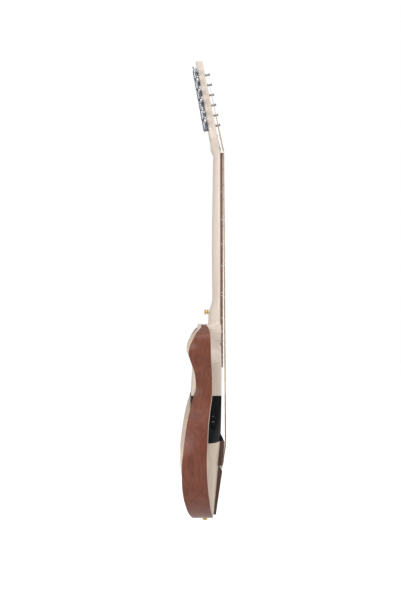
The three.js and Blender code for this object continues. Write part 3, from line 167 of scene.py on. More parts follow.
def wood_grain_group():
    """Grain of a plank that runs along Z. Growth lines are noise stretched along the plank and cut into
    bands, fibres are a much finer stretched noise, pores are short dark dashes and flame is a slow
    ripple across the plank."""
    group, given, result = shader_group(
        "wood_grain",
        [("Vector", "Vector", None), ("Line Scale", "Float", 60.0), ("Fibre Scale", "Float", 900.0),
         ("Pore Scale", "Float", 500.0), ("Stretch", "Float", 0.05)],
        [("Lines", "Float"), ("Fibres", "Float"), ("Pores", "Float"), ("Flame", "Float")])
    stretch = place_node(group, "ShaderNodeCombineXYZ", x=1.0, y=1.0)
    along = place_node(group, "ShaderNodeVectorMath", operation="MULTIPLY")
    wire(group, (given, "Stretch", stretch, "Z"), (given, "Vector", along, 0), (stretch, 0, along, 1))

    def noise(scale_socket, detail, roughness, distortion=0.0):
        """One layer of the grain: noise at the stretched place, its scale from an input of the group."""
        cloud = place_node(group, "ShaderNodeTexNoise", detail=detail, roughness=roughness,
                           distortion=distortion)
        wire(group, (along, 0, cloud, "Vector"), (given, scale_socket, cloud, "Scale"))
        return cloud

    slow = noise("Line Scale", 3.0, 0.45, 0.6)
    many = place_node(group, "ShaderNodeMath", operation="MULTIPLY")
    many.inputs[1].default_value = 44.0
    ring = place_node(group, "ShaderNodeMath", operation="SINE")
    band = place_node(group, "ShaderNodeMapRange")
    band.inputs["From Min"].default_value = -1.0
    wire(group, (slow, "Fac", many, 0), (many, 0, ring, 0), (ring, 0, band, "Value"),
         (band, "Result", result, "Lines"))
    wire(group, (noise("Fibre Scale", 4.0, 0.6), "Fac", result, "Fibres"))
    dash = place_node(group, "ShaderNodeMapRange")
    dash.inputs["From Min"].default_value = 0.6
    dash.inputs["From Max"].default_value = 0.72
    wire(group, (noise("Pore Scale", 1.0, 0.3), "Fac", dash, "Value"), (dash, "Result", result, "Pores"))
    ripple = place_node(group, "ShaderNodeTexNoise", scale=38.0, detail=2.0, roughness=0.4)
    wire(group, (given, "Vector", ripple, "Vector"), (ripple, "Fac", result, "Flame"))
    return group


def wood(name, pale, dark, pore_colour, line, fibre, pore, flame, gloss, coat, bump,
         line_scale=60.0, pore_scale=500.0, stretch=0.05, coat_blur=0.12, shine=0.5):
    """A lacquered wood. The colour goes from pale to dark by the sum of the grain's parts, each with its
    own share, then towards the pore colour in the pores. The pores and fibres also dent the surface."""
    material = bpy.data.materials.new(name)
    material.use_nodes = True
    tree = material.node_tree
    skin = tree.nodes["Principled BSDF"]
    for label, value in [("Roughness", gloss), ("Specular IOR Level", shine), ("Coat Weight", coat),
                         ("Coat Roughness", coat_blur)]:
        skin.inputs[label].default_value = value
    place = place_node(tree, "ShaderNodeTexCoord")
    grain = place_node(tree, "ShaderNodeGroup", node_tree=wood_grain)
    for label, value in [("Line Scale", line_scale), ("Pore Scale", pore_scale), ("Stretch", stretch)]:
        grain.inputs[label].default_value = value
    wire(tree, (place, "Object", grain, "Vector"))
    total = None
    for part, share in (("Lines", line), ("Fibres", fibre), ("Flame", flame)):
        scaled = place_node(tree, "ShaderNodeMath", operation="MULTIPLY_ADD")
        scaled.inputs[1].default_value = share
        scaled.inputs[2].default_value = 0.0
        wire(tree, (grain, part, scaled, 0))
        if total is not None:
            wire(tree, (total, 0, scaled, 2))
        total = scaled
    tone = place_node(tree, "ShaderNodeMix", data_type="RGBA")
    tone.inputs["A"].default_value = (*pale, 1)
    tone.inputs["B"].default_value = (*dark, 1)
    wire(tree, (total, 0, tone, "Factor"))
    pores = place_node(tree, "ShaderNodeMath", operation="MULTIPLY")
    pores.inputs[1].default_value = pore
    wire(tree, (grain, "Pores", pores, 0))
    spotted = place_node(tree, "ShaderNodeMix", data_type="RGBA")
    spotted.inputs["B"].default_value = (*pore_colour, 1)
    wire(tree, (pores, 0, spotted, "Factor"), (tone, "Result", spotted, "A"),
         (spotted, "Result", skin, "Base Color"))
    dent = place_node(tree, "ShaderNodeMath", operation="SUBTRACT")
    wire(tree, (grain, "Fibres", dent, 0), (pores, 0, dent, 1))
    relief = place_node(tree, "ShaderNodeBump", strength=bump, distance=0.0002)
    wire(tree, (dent, 0, relief, "Height"), (relief, 0, skin, "Normal"))
    return material


wood_grain = wood_grain_group()
maple = wood("maple", pale=(0.77, 0.665, 0.575), dark=(0.62, 0.50, 0.40), pore_colour=(0.5, 0.38, 0.27),
             line=0.24, fibre=0.12, pore=0.05, flame=0.2, gloss=0.4, coat=0.12, bump=0.03,
             line_scale=42.0, pore_scale=700.0)


corner_gap, flat_angle, edge_angle, edge_steps = 0.00001, np.radians(0.4), np.radians(32), 3


def refine(node, material, edge):
    """A solid of the frame keeps its mesh. Its corners are joined, its long edges rounded by a small bevel
    and its faces shaded smooth, and it gets a material."""
    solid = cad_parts[node]
    solid.data.materials.clear()
    solid.data.materials.append(material)
    solid.data.shade_smooth()
    joined = solid.modifiers.new("joined_corners", "WELD")
    joined.merge_threshold = corner_gap
    whole = solid.modifiers.new("whole_faces", "DECIMATE")
    whole.decimate_type = "DISSOLVE"
    whole.angle_limit = flat_angle
    rounded = solid.modifiers.new("rounded_edges", "BEVEL")
    rounded.width = edge
    rounded.segments = edge_steps
    rounded.limit_method = "ANGLE"
    rounded.angle_limit = edge_angle
    rounded.harden_normals = True
    rounded.miter_outer = "MITER_ARC"


refine("neck_spine", maple, edge=0.0009)


# Nut and truss rod. The nut is a white moulded bar, glued in front of the head. The truss rod is plain steel
# and lies in a channel under the board.

def plain(name, colour, gloss, metal=0.0, mottle=0.08, mottle_scale=180.0, bump=0.03, bump_scale=900.0,
          shine=0.5):
    """A smooth finish. A slow noise shifts its brightness by the mottle share and its roughness a little,
    and a fine noise dents it."""
    material = bpy.data.materials.new(name)
    material.use_nodes = True
    tree = material.node_tree
    skin = tree.nodes["Principled BSDF"]
    skin.inputs["Metallic"].default_value = metal
    skin.inputs["Specular IOR Level"].default_value = shine
    place = place_node(tree, "ShaderNodeTexCoord")
    slow = place_node(tree, "ShaderNodeTexNoise", scale=mottle_scale, detail=3.0)
    fine = place_node(tree, "ShaderNodeTexNoise", scale=bump_scale, detail=2.0)
    wire(tree, (place, "Object", slow, "Vector"), (place, "Object", fine, "Vector"))
    tone = place_node(tree, "ShaderNodeMix", data_type="RGBA")
    tone.inputs["A"].default_value = (*[c * (1 + mottle) for c in colour], 1)
    tone.inputs["B"].default_value = (*[c * (1 - mottle) for c in colour], 1)
    wire(tree, (slow, "Fac", tone, "Factor"), (tone, "Result", skin, "Base Color"))
    polish = place_node(tree, "ShaderNodeMapRange")
    polish.inputs["To Min"].default_value = gloss * 0.85
    polish.inputs["To Max"].default_value = gloss * 1.15
    wire(tree, (slow, "Fac", polish, "Value"), (polish, "Result", skin, "Roughness"))
    relief = place_node(tree, "ShaderNodeBump", strength=bump, distance=0.0002)
    wire(tree, (fine, "Fac", relief, "Height"), (relief, 0, skin, "Normal"))
    return material


bone = plain("bone_white", (0.80, 0.76, 0.66), gloss=0.38, mottle=0.05)
steel = plain("plain_steel", (0.56, 0.56, 0.57), gloss=0.3, metal=1.0, mottle=0.12)
refine("nut", bone, edge=0.0003)
refine("truss_rod", steel, edge=0.0003)


# Fretboard. Dark rosewood let into the neck and glued, crowned across and tapered along, with 22 nickel
# frets pressed into slots. White dots mark the places on its face, and small ones on the player's edge. From
# here on sizes are in millimetres, and glue_gap is the gap that the frame's solids leave at a joint.
drawing_zero = np.array([0.0354, 0.0, 0.0097])
mm = 0.001
nut_place, scale_length, fret_count = 812.0, 648.0, 22
board_end, board_end_half, nut_half = 334.424, 28.5, 21.5
board_thickness, board_seat, board_crown, board_round = 4.2, 2.2, 0.7, 0.5
fret_width, fret_height, fret_sink, fret_inset = 2.4, 1.0, 0.25, 0.12
dot_radius, dot_rise, dot_sink, dot_space = 3.1, 0.06, 0.02, 9.5
side_dot_x, side_dot_radius, side_dot_rise, side_dot_space = 1.0, 1.0, 0.05, 3.5
glue_gap = 0.3
fret_places = nut_place - scale_length * (1 - 2.0 ** (-np.arange(fret_count + 1) / 12))


def in_row(points):
    """Points of the guitar's drawing, in millimetres from the plane under the fretboard, the centre line and
    the tail, set in the frame of the row in metres."""
    return np.asarray(points, float) * mm + drawing_zero


def surface(name, sheets, material, smooth_angle=40.0):
    """A mesh of closed surfaces. Each sheet is a grid of points (rows, columns, 3) whose columns close on
    themselves. A sheet that ends on its first row is a ring with a hole; of the others the first and the
    last row are closed by a fan about their middle."""
    vertices, faces, start = [], [], 0
    for sheet in sheets:
        is_ring = np.allclose(sheet[0], sheet[-1])
        if is_ring:
            sheet = sheet[:-1]
        rows, columns, _ = sheet.shape
        row, column = np.meshgrid(np.arange(rows if is_ring else rows - 1), np.arange(columns), indexing="ij")
        after, above = (column + 1) % columns, (row + 1) % rows
        quads = np.stack([row * columns + column, row * columns + after,
                          above * columns + after, above * columns + column], -1).reshape(-1, 4)
        faces.extend((quads + start).tolist())
        vertices.append(sheet.reshape(-1, 3))
        start += rows * columns
        if not is_ring:
            around = np.arange(columns)
            for middle, ring in ((start, start - rows * columns), (start + 1, start - columns)):
                fan = np.stack([np.full(columns, middle), ring + (around + 1) % columns, ring + around], -1)
                faces.extend(fan.tolist())
            vertices.append(np.stack([sheet[0].mean(0), sheet[-1].mean(0)]))
            start += 2
    mesh = bpy.data.meshes.new(name)
    mesh.from_pydata(np.concatenate(vertices).tolist(), [], faces)
    fill = bmesh.new()
    fill.from_mesh(mesh)
    bmesh.ops.recalc_face_normals(fill, faces=fill.faces)
    fill.to_mesh(mesh)
    fill.free()
    mesh.shade_smooth()
    mesh.set_sharp_from_angle(angle=np.radians(smooth_angle))
    mesh.materials.append(material)
    piece = bpy.data.objects.new(name, mesh)
    bpy.context.scene.collection.objects.link(piece)
    return piece


def fit(piece, body, slot, *nodes):
    """The piece moves with a body and stands for nodes of the frame, which it hides; the slot is not used."""
    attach(piece, body)
    if nodes:
        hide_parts(*nodes)


def mix(low, high, share):
    """The value a share of the way from low to high."""
    return low + (high - low) * share


def neck_half_at(z):
    """Half the neck's width at a height: it tapers evenly from the board's end to the nut."""
    return mix(board_end_half, nut_half, (z - board_end) / (nut_place - board_end))


def board_rise_at(share):
    """The board's top at a share of its half width: the crown falls by the square of the share."""
    return board_thickness - board_crown * share ** 2


def board_surface():
    """Rings up the board: flat under, sides rounded by board_round at the top, crown falling by the square
    of the distance from the middle; the ends are drawn in by the same rounding."""
    rows = 60
    along = np.concatenate([[0, 0.12, 0.5], np.linspace(1, 476, rows), [476.5, 476.9, 477.05]])
    drawn = np.concatenate([[1, 0.35, 0.06], np.zeros(rows), [0.06, 0.35, 1]]) * board_round
    z = board_end + along * (nut_place - glue_gap - board_end) / along[-1]
    turn = np.linspace(0, np.pi / 2, 5)
    across = np.linspace(1, -1, 21)
    half = neck_half_at(z)[:, None] - drawn[:, None]
    top = board_rise_at(across)[None] - drawn[:, None]
    edge = half - board_round
    y_top = across[None] * edge
    y_right = edge + board_round * np.cos(turn[:-1])
    x_right = board_rise_at(1.0) - drawn[:, None] - board_round + board_round * np.sin(turn[:-1])
    ones = np.ones_like(half)
    y = np.concatenate([half, y_right, y_top, -y_right[:, ::-1], -half], 1)
    base = (glue_gap - board_seat) * ones
    x = np.concatenate([base, x_right, top, x_right[:, ::-1], base], 1)
    return in_row(np.stack([x, y, np.broadcast_to(z[:, None], x.shape)], -1))


def fret_surface(z):
    """A fret wire across the board: half an oval in section that follows the crown, its ends bevelled."""
    across = np.concatenate([[-1, -0.985, -0.965], np.linspace(-0.93, 0.93, 15), [0.965, 0.985, 1]])
    lift = np.concatenate([[0.25, 0.62, 0.9], np.ones(15), [0.9, 0.62, 0.25]])
    turn = np.linspace(0, np.pi, 9)
    half = neck_half_at(z) - fret_inset
    base = board_rise_at(across) - fret_sink
    x = base[:, None] + (fret_height + fret_sink) * lift[:, None] * np.sin(turn)[None]
    along = z + fret_width / 2 * np.cos(turn)[None] * np.ones_like(x)
    y = np.broadcast_to((across * half)[:, None], x.shape)
    return in_row(np.stack([x, y, along], -1))


def turned_surface(profile, start, out, sides=32):
    """A turned piece: a profile of (radius, height) pairs spun about a direction from a start point."""
    out = np.asarray(out, float) / np.linalg.norm(out)
    side = np.cross(out, [0.0, 0.0, 1.0])
    side = side / np.linalg.norm(side) if np.linalg.norm(side) > 0.01 else np.array([1.0, 0, 0])
    up = np.cross(out, side)
    turn = np.linspace(0, 2 * np.pi, sides, endpoint=False)
    ring = np.cos(turn)[:, None] * side + np.sin(turn)[:, None] * up
    radius, height = np.array(profile, float).T
    return (np.asarray(start, float) + radius[:, None, None] * ring[None]
            + height[:, None, None] * out)


def disc_surface(middle, out, radius, rise, sides=24):
    """A low round dot let into a face, with a rounded rim: a turned piece along the face's direction."""
    profile = [(radius, -0.4), (radius, rise * 0.5), (radius * 0.96, rise)]
    return in_row(turned_surface(profile, middle, out, sides))


rosewood = wood("rosewood", pale=(0.26, 0.115, 0.055), dark=(0.10, 0.038, 0.02),
                pore_colour=(0.025, 0.012, 0.008), line=0.5, fibre=0.5, pore=0.75, flame=0.15, gloss=0.42,
                coat=0.12, bump=0.35, line_scale=70.0, pore_scale=620.0, stretch=0.06)
nickel = plain("fret_nickel", (0.72, 0.71, 0.69), gloss=0.2, metal=1.0)
pearl = plain("white_dots", (0.82, 0.80, 0.76), gloss=0.25, mottle=0.1, mottle_scale=600.0)
fretboard = surface("fretboard_wood", [board_surface()], rosewood)
fit(fretboard, "guitar", "rosewood", "fretboard")
frets = surface("frets", [fret_surface(z) for z in fret_places[1:]], nickel)
fit(frets, "guitar", "steel")
face_spots, side_spots = [], []
for count in (3, 5, 7, 9, 12, 15, 17, 19, 21):
    z = (fret_places[count] + fret_places[count - 1]) / 2
    for side in (-1, 1) if count == 12 else (0,):
        y = side * dot_space
        face_spots.append((board_rise_at(y / neck_half_at(z)) - dot_sink, y, z))
        side_spots.append(z + side * side_dot_space)
face_dots = surface("face_dots", [
    disc_surface(spot, (1, 0, 0), dot_radius, dot_rise) for spot in face_spots], pearl)
fit(face_dots, "guitar", "bone")
side_dots = surface("side_dots", [
    disc_surface((side_dot_x, -neck_half_at(z), z), (0, -1, 0), side_dot_radius, side_dot_rise, sides=16)
    for z in side_spots], pearl)
fit(side_dots, "guitar", "bone")


# Truss rod cover. A thin black plate on the face of the head, held by three small cross-head screws; it
# hides the nut of the truss rod.

def cross_screw(seat, out, head, rise, length):
    """A screw with a domed head: its shank goes in from the seat, and its head's crown is pressed in along
    two crossing slots, as deep as the slots are near their middle lines."""
    sides = 48
    radii = np.concatenate([np.linspace(1, 0.97, 2), np.cos(np.linspace(0.25, np.pi / 2, 16))])
    dome = np.sqrt(np.clip(1 - (radii * 0.98) ** 2, 0, 1)) * 0.55 + 0.45
    dome[0] = 0.15
    shank = [(0.02, -length), (head * 0.3, 1.2 - length), (head * 0.42, 1.8 - length), (head * 0.42, 0.0),
             (head * 0.98, 0.0)]
    rings = turned_surface(shank + [(r * head, d * rise) for r, d in zip(radii, dome)], seat, out, sides)
    out = np.asarray(out, float) / np.linalg.norm(out)
    turn = np.linspace(0, 2 * np.pi, sides, endpoint=False)
    reach = radii[:, None] * head
    near = np.minimum(np.abs(reach * np.sin(turn + 0.4)), np.abs(reach * np.cos(turn + 0.4)))
    cut = np.clip(1 - near / (head * 0.17), 0, 1) ** 0.5
    cut *= np.clip((head * 0.62 - reach) / (head * 0.12), 0, 1)
    rings[len(shank):] -= (cut * rise * 0.75)[:, :, None] * out
    return rings


head_start, head_step, head_slope = 816.9, 2.4, 0.1962
cover_rise, cover_start, cover_length, cover_low, cover_high = 2.0, 1.4, 40.0, 10.0, 7.0
black_plastic = plain("black_plastic", (0.0065, 0.0072, 0.0085), gloss=0.5, mottle=0.2, mottle_scale=90.0,
                      bump=0.25, bump_scale=2600.0, shine=0.14)
refine("truss_rod_cover", black_plastic, edge=0.0005)
face_out = np.array([1.0, 0.0, head_slope]) / np.hypot(1.0, head_slope)
for name, up, across in [("bass", 0.13, -0.7), ("treble", 0.13, 0.7), ("upper", 0.86, 0.0)]:
    z = head_start + cover_start + up * cover_length
    seat = np.array([-head_step - (z - head_start) * head_slope, across * mix(cover_low, cover_high, up), z])
    seat = seat + face_out * (cover_rise + glue_gap)
    sheet = in_row(cross_screw(seat, face_out, head=2.2, rise=1.1, length=9.0))
    screw = surface(f"cover_screw_{name}_head", [sheet], steel)
    fit(screw, "guitar", "steel", f"cover_screw_{name}")


# Tuning machines. Six in a line on the bass side of the head: a closed die-cast case with a worm and a gear,
# screwed on behind, its threaded bush and washer on the face, a chromed post and a metal button.
head_back_slope = 0.177
head_tilt = np.arctan(head_back_slope)
head_back_x, head_back_z = -27.5, 858.4
first_tuner_z, tuner_pitch, first_tuner_y, tuner_step = 986.0, 23.14, -2.0, -3.0
worm_rise, gear_x = 10.5, -6.0
case_side, case_low, case_high, case_depth, case_corner, case_dome = 9.0, -8.5, 14.8, 10.8, 4.5, 2.6
button_start, button_length, button_long, button_thick = 23.0, 18.0, 8.0, 3.2
button_turns = [-0.75, 0.2, 0.55, 0.5, -0.3, 0.35]
post_rise, flange_radius, flange_height = 11.7, 4.4, 1.6
gear_teeth, gear_radius, tooth_rise, gear_low, gear_high = 14, 6.65, 0.45, -8, -4


def on_head(points, k):
    """Points in a tuner's own frame (out of the face, across, up the head) set in the row's frame."""
    points = np.asarray(points, float)
    z = first_tuner_z - k * tuner_pitch
    x = head_back_x - (z - head_back_z) * head_back_slope
    tilt = np.array([[np.cos(head_tilt), 0, np.sin(head_tilt)], [0, 1, 0],
                     [-np.sin(head_tilt), 0, np.cos(head_tilt)]])
    return in_row(points @ tilt + [x, first_tuner_y + k * tuner_step, z])


def head_thickness(k):
    """The head's thickness at a tuner, square to its back: the face's distance from the back, which both
    slope evenly, times the cosine of the back's slope."""
    z = first_tuner_z - k * tuner_pitch
    face = -head_step - (z - head_start) * head_slope
    return (face - head_back_x + (z - head_back_z) * head_back_slope) * np.cos(head_tilt)


def rounded_outline(low_y, high_y, low_z, high_z, radius, per_corner=9):
    """Points round a rectangle with round corners, as an array of (y, z)."""
    turn = np.linspace(0, np.pi / 2, per_corner)
    corners = [(high_y - radius, high_z - radius, 0), (low_y + radius, high_z - radius, 1),
               (low_y + radius, low_z + radius, 2), (high_y - radius, low_z + radius, 3)]
    return np.concatenate([
        np.stack([y + radius * np.cos(turn + quarter * np.pi / 2),
                  z + radius * np.sin(turn + quarter * np.pi / 2)], -1) for y, z, quarter in corners])


def tuner_case():
    """The case: a rounded outline that rises straight, then draws in over a quarter circle to its crown."""
    turn = np.linspace(0, np.pi / 2, 8)
    steps = [(-0.3, 0.35), (-0.6, 0.0), (-1.6, 0.0), (-1.9, 0.45), (-2.2, 0.0)]
    steps += [(-case_depth + case_dome - case_dome * np.sin(a), case_dome * (1 - np.cos(a))) for a in turn]
    rings = []
    for x, inset in steps:
        ring = rounded_outline(-case_side + inset, case_side - inset, case_low + inset, case_high - inset,
                               case_corner - min(inset, case_corner - 1.2))
        rings.append(np.concatenate([np.full((len(ring), 1), x), ring], 1))
    return np.stack(rings)


def tuner_button_surface(turn):
    """Worm shaft, collar and button on one axis. Sections are superellipses, thick by long, that swell from
    the shaft to the button's paddle and round off at its end; all is turned about the shaft."""
    rings = [(5.4, 2.6, 2.6), (5.3, 2.85, 2.85), (-5.3, 2.85, 2.85), (-5.5, 1.5, 1.5), (-9.6, 1.5, 1.5),
             (-9.6, 2.7, 2.7), (-9.9, 2.9, 2.9), (-12.2, 2.9, 2.9), (-12.6, 2.6, 2.6), (-12.7, 1.8, 1.8),
             (-17.0, 1.65, 1.65), (-22.2, 1.75, 1.9)]
    run = np.linspace(0, 1, 26)
    width = button_long * (0.30 + 0.70 * np.sin(np.clip(run * 2.1, 0, 1) * np.pi / 2) ** 0.8)
    width *= np.sqrt(np.clip(1 - np.clip((run - 0.72) / 0.285, 0, 1) ** 2.6, 0, 1))
    thick = button_thick * (0.55 + 0.45 * np.sin(np.clip(run * 1.8, 0, 1) * np.pi / 2))
    thick *= np.sqrt(np.clip(1 - np.clip((run - 0.66) / 0.345, 0, 1) ** 2.2, 0, 1))
    rings += [(-button_start - button_length * r * 0.995, max(t, 0.15), max(w, 0.3))
              for r, t, w in zip(run, thick, width)]
    angle = np.linspace(0, 2 * np.pi, 40, endpoint=False)
    y, thin, long = np.array(rings).T
    power = np.where(y < -button_start, 0.82, 1.0)[:, None]
    x = thin[:, None] * np.sign(np.cos(angle)) * np.abs(np.cos(angle)) ** power
    z = long[:, None] * np.sign(np.sin(angle)) * np.abs(np.sin(angle)) ** power
    x, z = x * np.cos(turn) + z * np.sin(turn), z * np.cos(turn) - x * np.sin(turn)
    return np.stack([x + gear_x, np.broadcast_to(y[:, None], x.shape), z + worm_rise], -1)


def post_surfaces(k):
    """The post, a shaft with a waist for the string under a domed cap, and its gear, whose radius is a
    flattened sine of the angle."""
    face = head_thickness(k)
    tip = face + post_rise
    waist = face + flange_height + 0.9
    sink = np.linspace(0, np.pi, 9)[1:-1]
    profile = [(0.05, -8.5), (2.3, -8.5), (2.3, waist), (2.2, waist + 0.3)]
    profile += [(2.2 - 0.3 * np.sin(a), mix(waist + 0.3, tip - 3.0, a / np.pi)) for a in sink]
    profile += [(2.2, tip - 3.0), (2.9, tip - 2.6), (2.9, tip - 0.6), (2.75, tip - 0.25), (2.4, tip - 0.02),
                (1.2, tip - 0.02), (0.9, tip - 0.3), (0.05, tip - 0.3)]
    angle = np.linspace(0, 2 * np.pi, 112, endpoint=False)
    tooth = gear_radius + tooth_rise * np.tanh(2.2 * np.sin(gear_teeth * angle))
    ring = np.stack([np.zeros_like(angle), tooth * np.cos(angle), tooth * np.sin(angle)], -1)
    gear = np.stack([ring + [gear_low, 0, 0], ring + [gear_high, 0, 0]])
    return [turned_surface(profile, (0, 0, 0), (1, 0, 0)), gear]


cast_chrome = plain("cast_chrome", (0.22, 0.23, 0.25), gloss=0.3, metal=1.0, mottle=0.35, mottle_scale=260.0,
                    bump=0.12, bump_scale=700.0)
chrome = plain("bright_chrome", (0.62, 0.63, 0.66), gloss=0.12, metal=1.0, mottle=0.06)
dark_chrome = plain("dark_chrome", (0.30, 0.30, 0.32), gloss=0.16, metal=1.0, mottle=0.2)
bush_flange = [(flange_radius * 0.98, 0.0), (flange_radius, 0.15), (flange_radius, 0.5),
               (flange_radius * 0.97, 0.6)]
bush_rim = [(3.4, 0.65), (3.3, 1.45), (3.0, flange_height), (2.6, flange_height)]
case_cap = turned_surface([(0.05, case_depth - 0.25), (2.9, case_depth - 0.25), (3.3, case_depth - 0.5),
                           (3.3, case_depth - 2)], (0, 0, 0), (-1, 0, 0))
shaft_sleeve = turned_surface([(2.0, 8.6), (2.6, 8.7), (2.5, 9.2), (1.9, 9.3)], (gear_x, 0, worm_rise),
                              (0, -1, 0))
case_pin = turned_surface([(1.0, 0.2), (1.0, 3.2), (0.8, 3.3)], (-0.5, 7, 0), (1, 0, 0), sides=16)
for k in range(6):
    number = k + 1
    face = head_thickness(k)
    bush_end = -face - 0.2
    bush = turned_surface([(2.6, bush_end), (3.3, bush_end), (3.3, -0.05)] + bush_flange + bush_rim
                          + [(2.6, bush_end)], (face + glue_gap, 0, 0), (1, 0, 0))
    case = surface(f"tuner_case_{number}", [on_head(tuner_case(), k)], cast_chrome, smooth_angle=35)
    fit(case, "guitar", "cast_metal", f"tuner_housing_{number}")
    trim = [on_head(sheet, k) for sheet in (bush, case_cap, shaft_sleeve, case_pin)]
    fit(surface(f"tuner_bush_{number}", trim, dark_chrome), "guitar", "chrome")
    sheet = on_head(tuner_button_surface(button_turns[k]), k)
    key = surface(f"tuner_key_{number}", [sheet], chrome, smooth_angle=50)
    fit(key, f"tuner_{number}_shaft", "chrome", f"tuner_button_{number}")
    sheets = [on_head(sheet, k) for sheet in post_surfaces(k)]
    post = surface(f"tuner_string_post_{number}", sheets, dark_chrome)
    fit(post, f"tuner_{number}_post", "chrome", f"tuner_post_{number}")


# Strings. Two plain steel and four bronze-wound strings, each from its ball end behind the bridge over the
# saddle and the nut and twice round its post. The ball ends are small brass rings lying across.

def stripe_metal(name, colour, gloss, pitch, depth):
    """A wound string: metal whose relief follows the turns of its wrap, a sine of the distance
    along the string, which the mesh holds as its attribute along_string."""
    material = plain(name, colour, gloss, metal=1.0, mottle=0.1, bump=0.05)
    tree = material.node_tree
    skin = tree.nodes["Principled BSDF"]
    along = place_node(tree, "ShaderNodeAttribute", attribute_name="along_string")
    turns = place_node(tree, "ShaderNodeMath", operation="MULTIPLY")
    turns.inputs[1].default_value = 2 * np.pi / pitch
    wave = place_node(tree, "ShaderNodeMath", operation="SINE")
    relief = place_node(tree, "ShaderNodeBump", strength=0.5, distance=depth)
    wire(tree, (along, "Fac", turns, 0), (turns, 0, wave, 0), (wave, 0, relief, "Height"),
         (relief, 0, skin, "Normal"))
    return material


def tube_surface(points, radius, sides):
    """A tube along points: rings square to the path, each turned no more than the path turns."""
    points = np.asarray(points, float)
    step = np.diff(points, axis=0)
    step /= np.linalg.norm(step, axis=1)[:, None]
    tangent = np.concatenate([step[:1], step[:-1] + step[1:], step[-1:]])
    tangent /= np.linalg.norm(tangent, axis=1)[:, None]
    side = np.array([0.0, 1.0, 0.0])
    frames = []
    for t in tangent:
        side = side - t * (side @ t)
        side = side / np.linalg.norm(side)
        frames.append(side)
    across = np.array(frames)
    up = np.cross(tangent, across)
    turn = np.linspace(0, 2 * np.pi, sides, endpoint=False)
    return (points[:, None] + radius * (np.cos(turn)[None, :, None] * across[:, None]
                                        + np.sin(turn)[None, :, None] * up[:, None]))


gauges = [0.3, 0.4, 0.55, 0.75, 0.98, 1.26]
saddle_z, saddle_crest, rise_saddle, rise_nut, nut_depth = 164.0, 1.3, 10.5, 6.4, 3.68
spread_nut, spread_saddle = 35.2, 52.0
ball_x, ball_z, ball_radius, ball_hole, ball_length = 1.4, 111.9, 2.2, 0.8, 3.0
ball_round, hole_round = 0.4, 0.2
end_steps = np.array([[0, 1.3], [0.3, 3.6], [1.9, 5.2], [2.6, 6.8]])
winding_turns, winding_space, winding_fit, post_waist, waist_rise = 2, 0.45, 0.4, 1.9, 5.6
string_sides, turn_steps = 12, 28
plain_string = plain("plain_string", (0.62, 0.61, 0.58), gloss=0.22, metal=1.0)
wound_string = stripe_metal("wound_string", (0.86, 0.66, 0.42), gloss=0.3, pitch=0.0009, depth=0.0001)
brass = plain("ball_brass", (0.86, 0.80, 0.68), gloss=0.18, metal=1.0)
ball_profile = [
    (ball_hole, hole_round), (ball_hole + hole_round, 0), (ball_radius - ball_round, 0),
    (ball_radius, ball_round), (ball_radius, ball_length - ball_round),
    (ball_radius - ball_round, ball_length), (ball_hole + hole_round, ball_length),
    (ball_hole, ball_length - hole_round), (ball_hole, hole_round)]
for k, gauge in enumerate(gauges):
    radius = gauge / 2
    share = 0.5 - k / 5
    y_nut, y_saddle = share * spread_nut, share * spread_saddle
    ends = np.column_stack([ball_x + end_steps[:, 0], np.full(4, y_saddle), ball_z + end_steps[:, 1]])
    over = [[rise_saddle, y_saddle, saddle_z - saddle_crest],
            [rise_saddle, y_saddle, saddle_z + saddle_crest],
            [rise_nut, y_nut, nut_place], [rise_nut, y_nut, nut_place + nut_depth]]
    around = post_waist + radius + winding_fit
    pitch = gauge + winding_space
    turn = np.linspace(0, winding_turns, winding_turns * turn_steps + 1)
    top = head_thickness(k) + waist_rise + pitch * winding_turns / 2
    coil = on_head(np.column_stack([top - pitch * turn, around * np.cos(2 * np.pi * turn),
                                    around * np.sin(2 * np.pi * turn)]), k)
    route = np.concatenate([in_row(np.concatenate([ends, over])), coil])
    tube = tube_surface(route, radius * mm, string_sides)
    line = surface(f"string_{k + 1}_line", [tube], plain_string if k < 2 else wound_string, smooth_angle=60)
    travelled = np.concatenate([[0], np.cumsum(np.linalg.norm(np.diff(route, axis=0), axis=1))])
    along = line.data.attributes.new("along_string", "FLOAT", "POINT")
    along.data.foreach_set("value", np.concatenate([np.repeat(travelled, string_sides), [0, travelled[-1]]]))
    fit(line, "guitar", "steel" if k < 2 else "bronze", f"string_{k + 1}")
    ring = turned_surface(ball_profile, (ball_x, y_saddle - ball_length / 2, ball_z), (0, 1, 0), sides=28)
    ball = surface(f"ball_end_{k + 1}", [in_row(ring)], brass, smooth_angle=60)
    fit(ball, "guitar", "gold")


# Lower body, bridge and tail strip. The lower body is arched maple glued over the core; the bridge and the
# long tail strip are rosewood glued on it, and the bridge holds a white saddle over its pickup strip.
tan_maple = wood("tan_maple", pale=(0.74, 0.61, 0.485), dark=(0.57, 0.44, 0.335),
                 pore_colour=(0.46, 0.34, 0.24), line=0.26, fibre=0.14, pore=0.06, flame=0.22, gloss=0.4,
                 coat=0.12, bump=0.03, line_scale=38.0, pore_scale=700.0)
dark_rosewood = wood("dark_rosewood", pale=(0.15, 0.066, 0.038), dark=(0.06, 0.024, 0.015),
                     pore_colour=(0.02, 0.01, 0.007), line=0.5, fibre=0.5, pore=0.7, flame=0.15, gloss=0.42,
                     coat=0.12, bump=0.25, line_scale=60.0, pore_scale=620.0, stretch=0.06, shine=0.35)
refine("lower_body", tan_maple, edge=0.0008)
refine("bridge", dark_rosewood, edge=0.0009)
refine("tail_strip", dark_rosewood, edge=0.0008)
refine("saddle", bone, edge=0.0004)
refine("pickup_strip", steel, edge=0.0002)


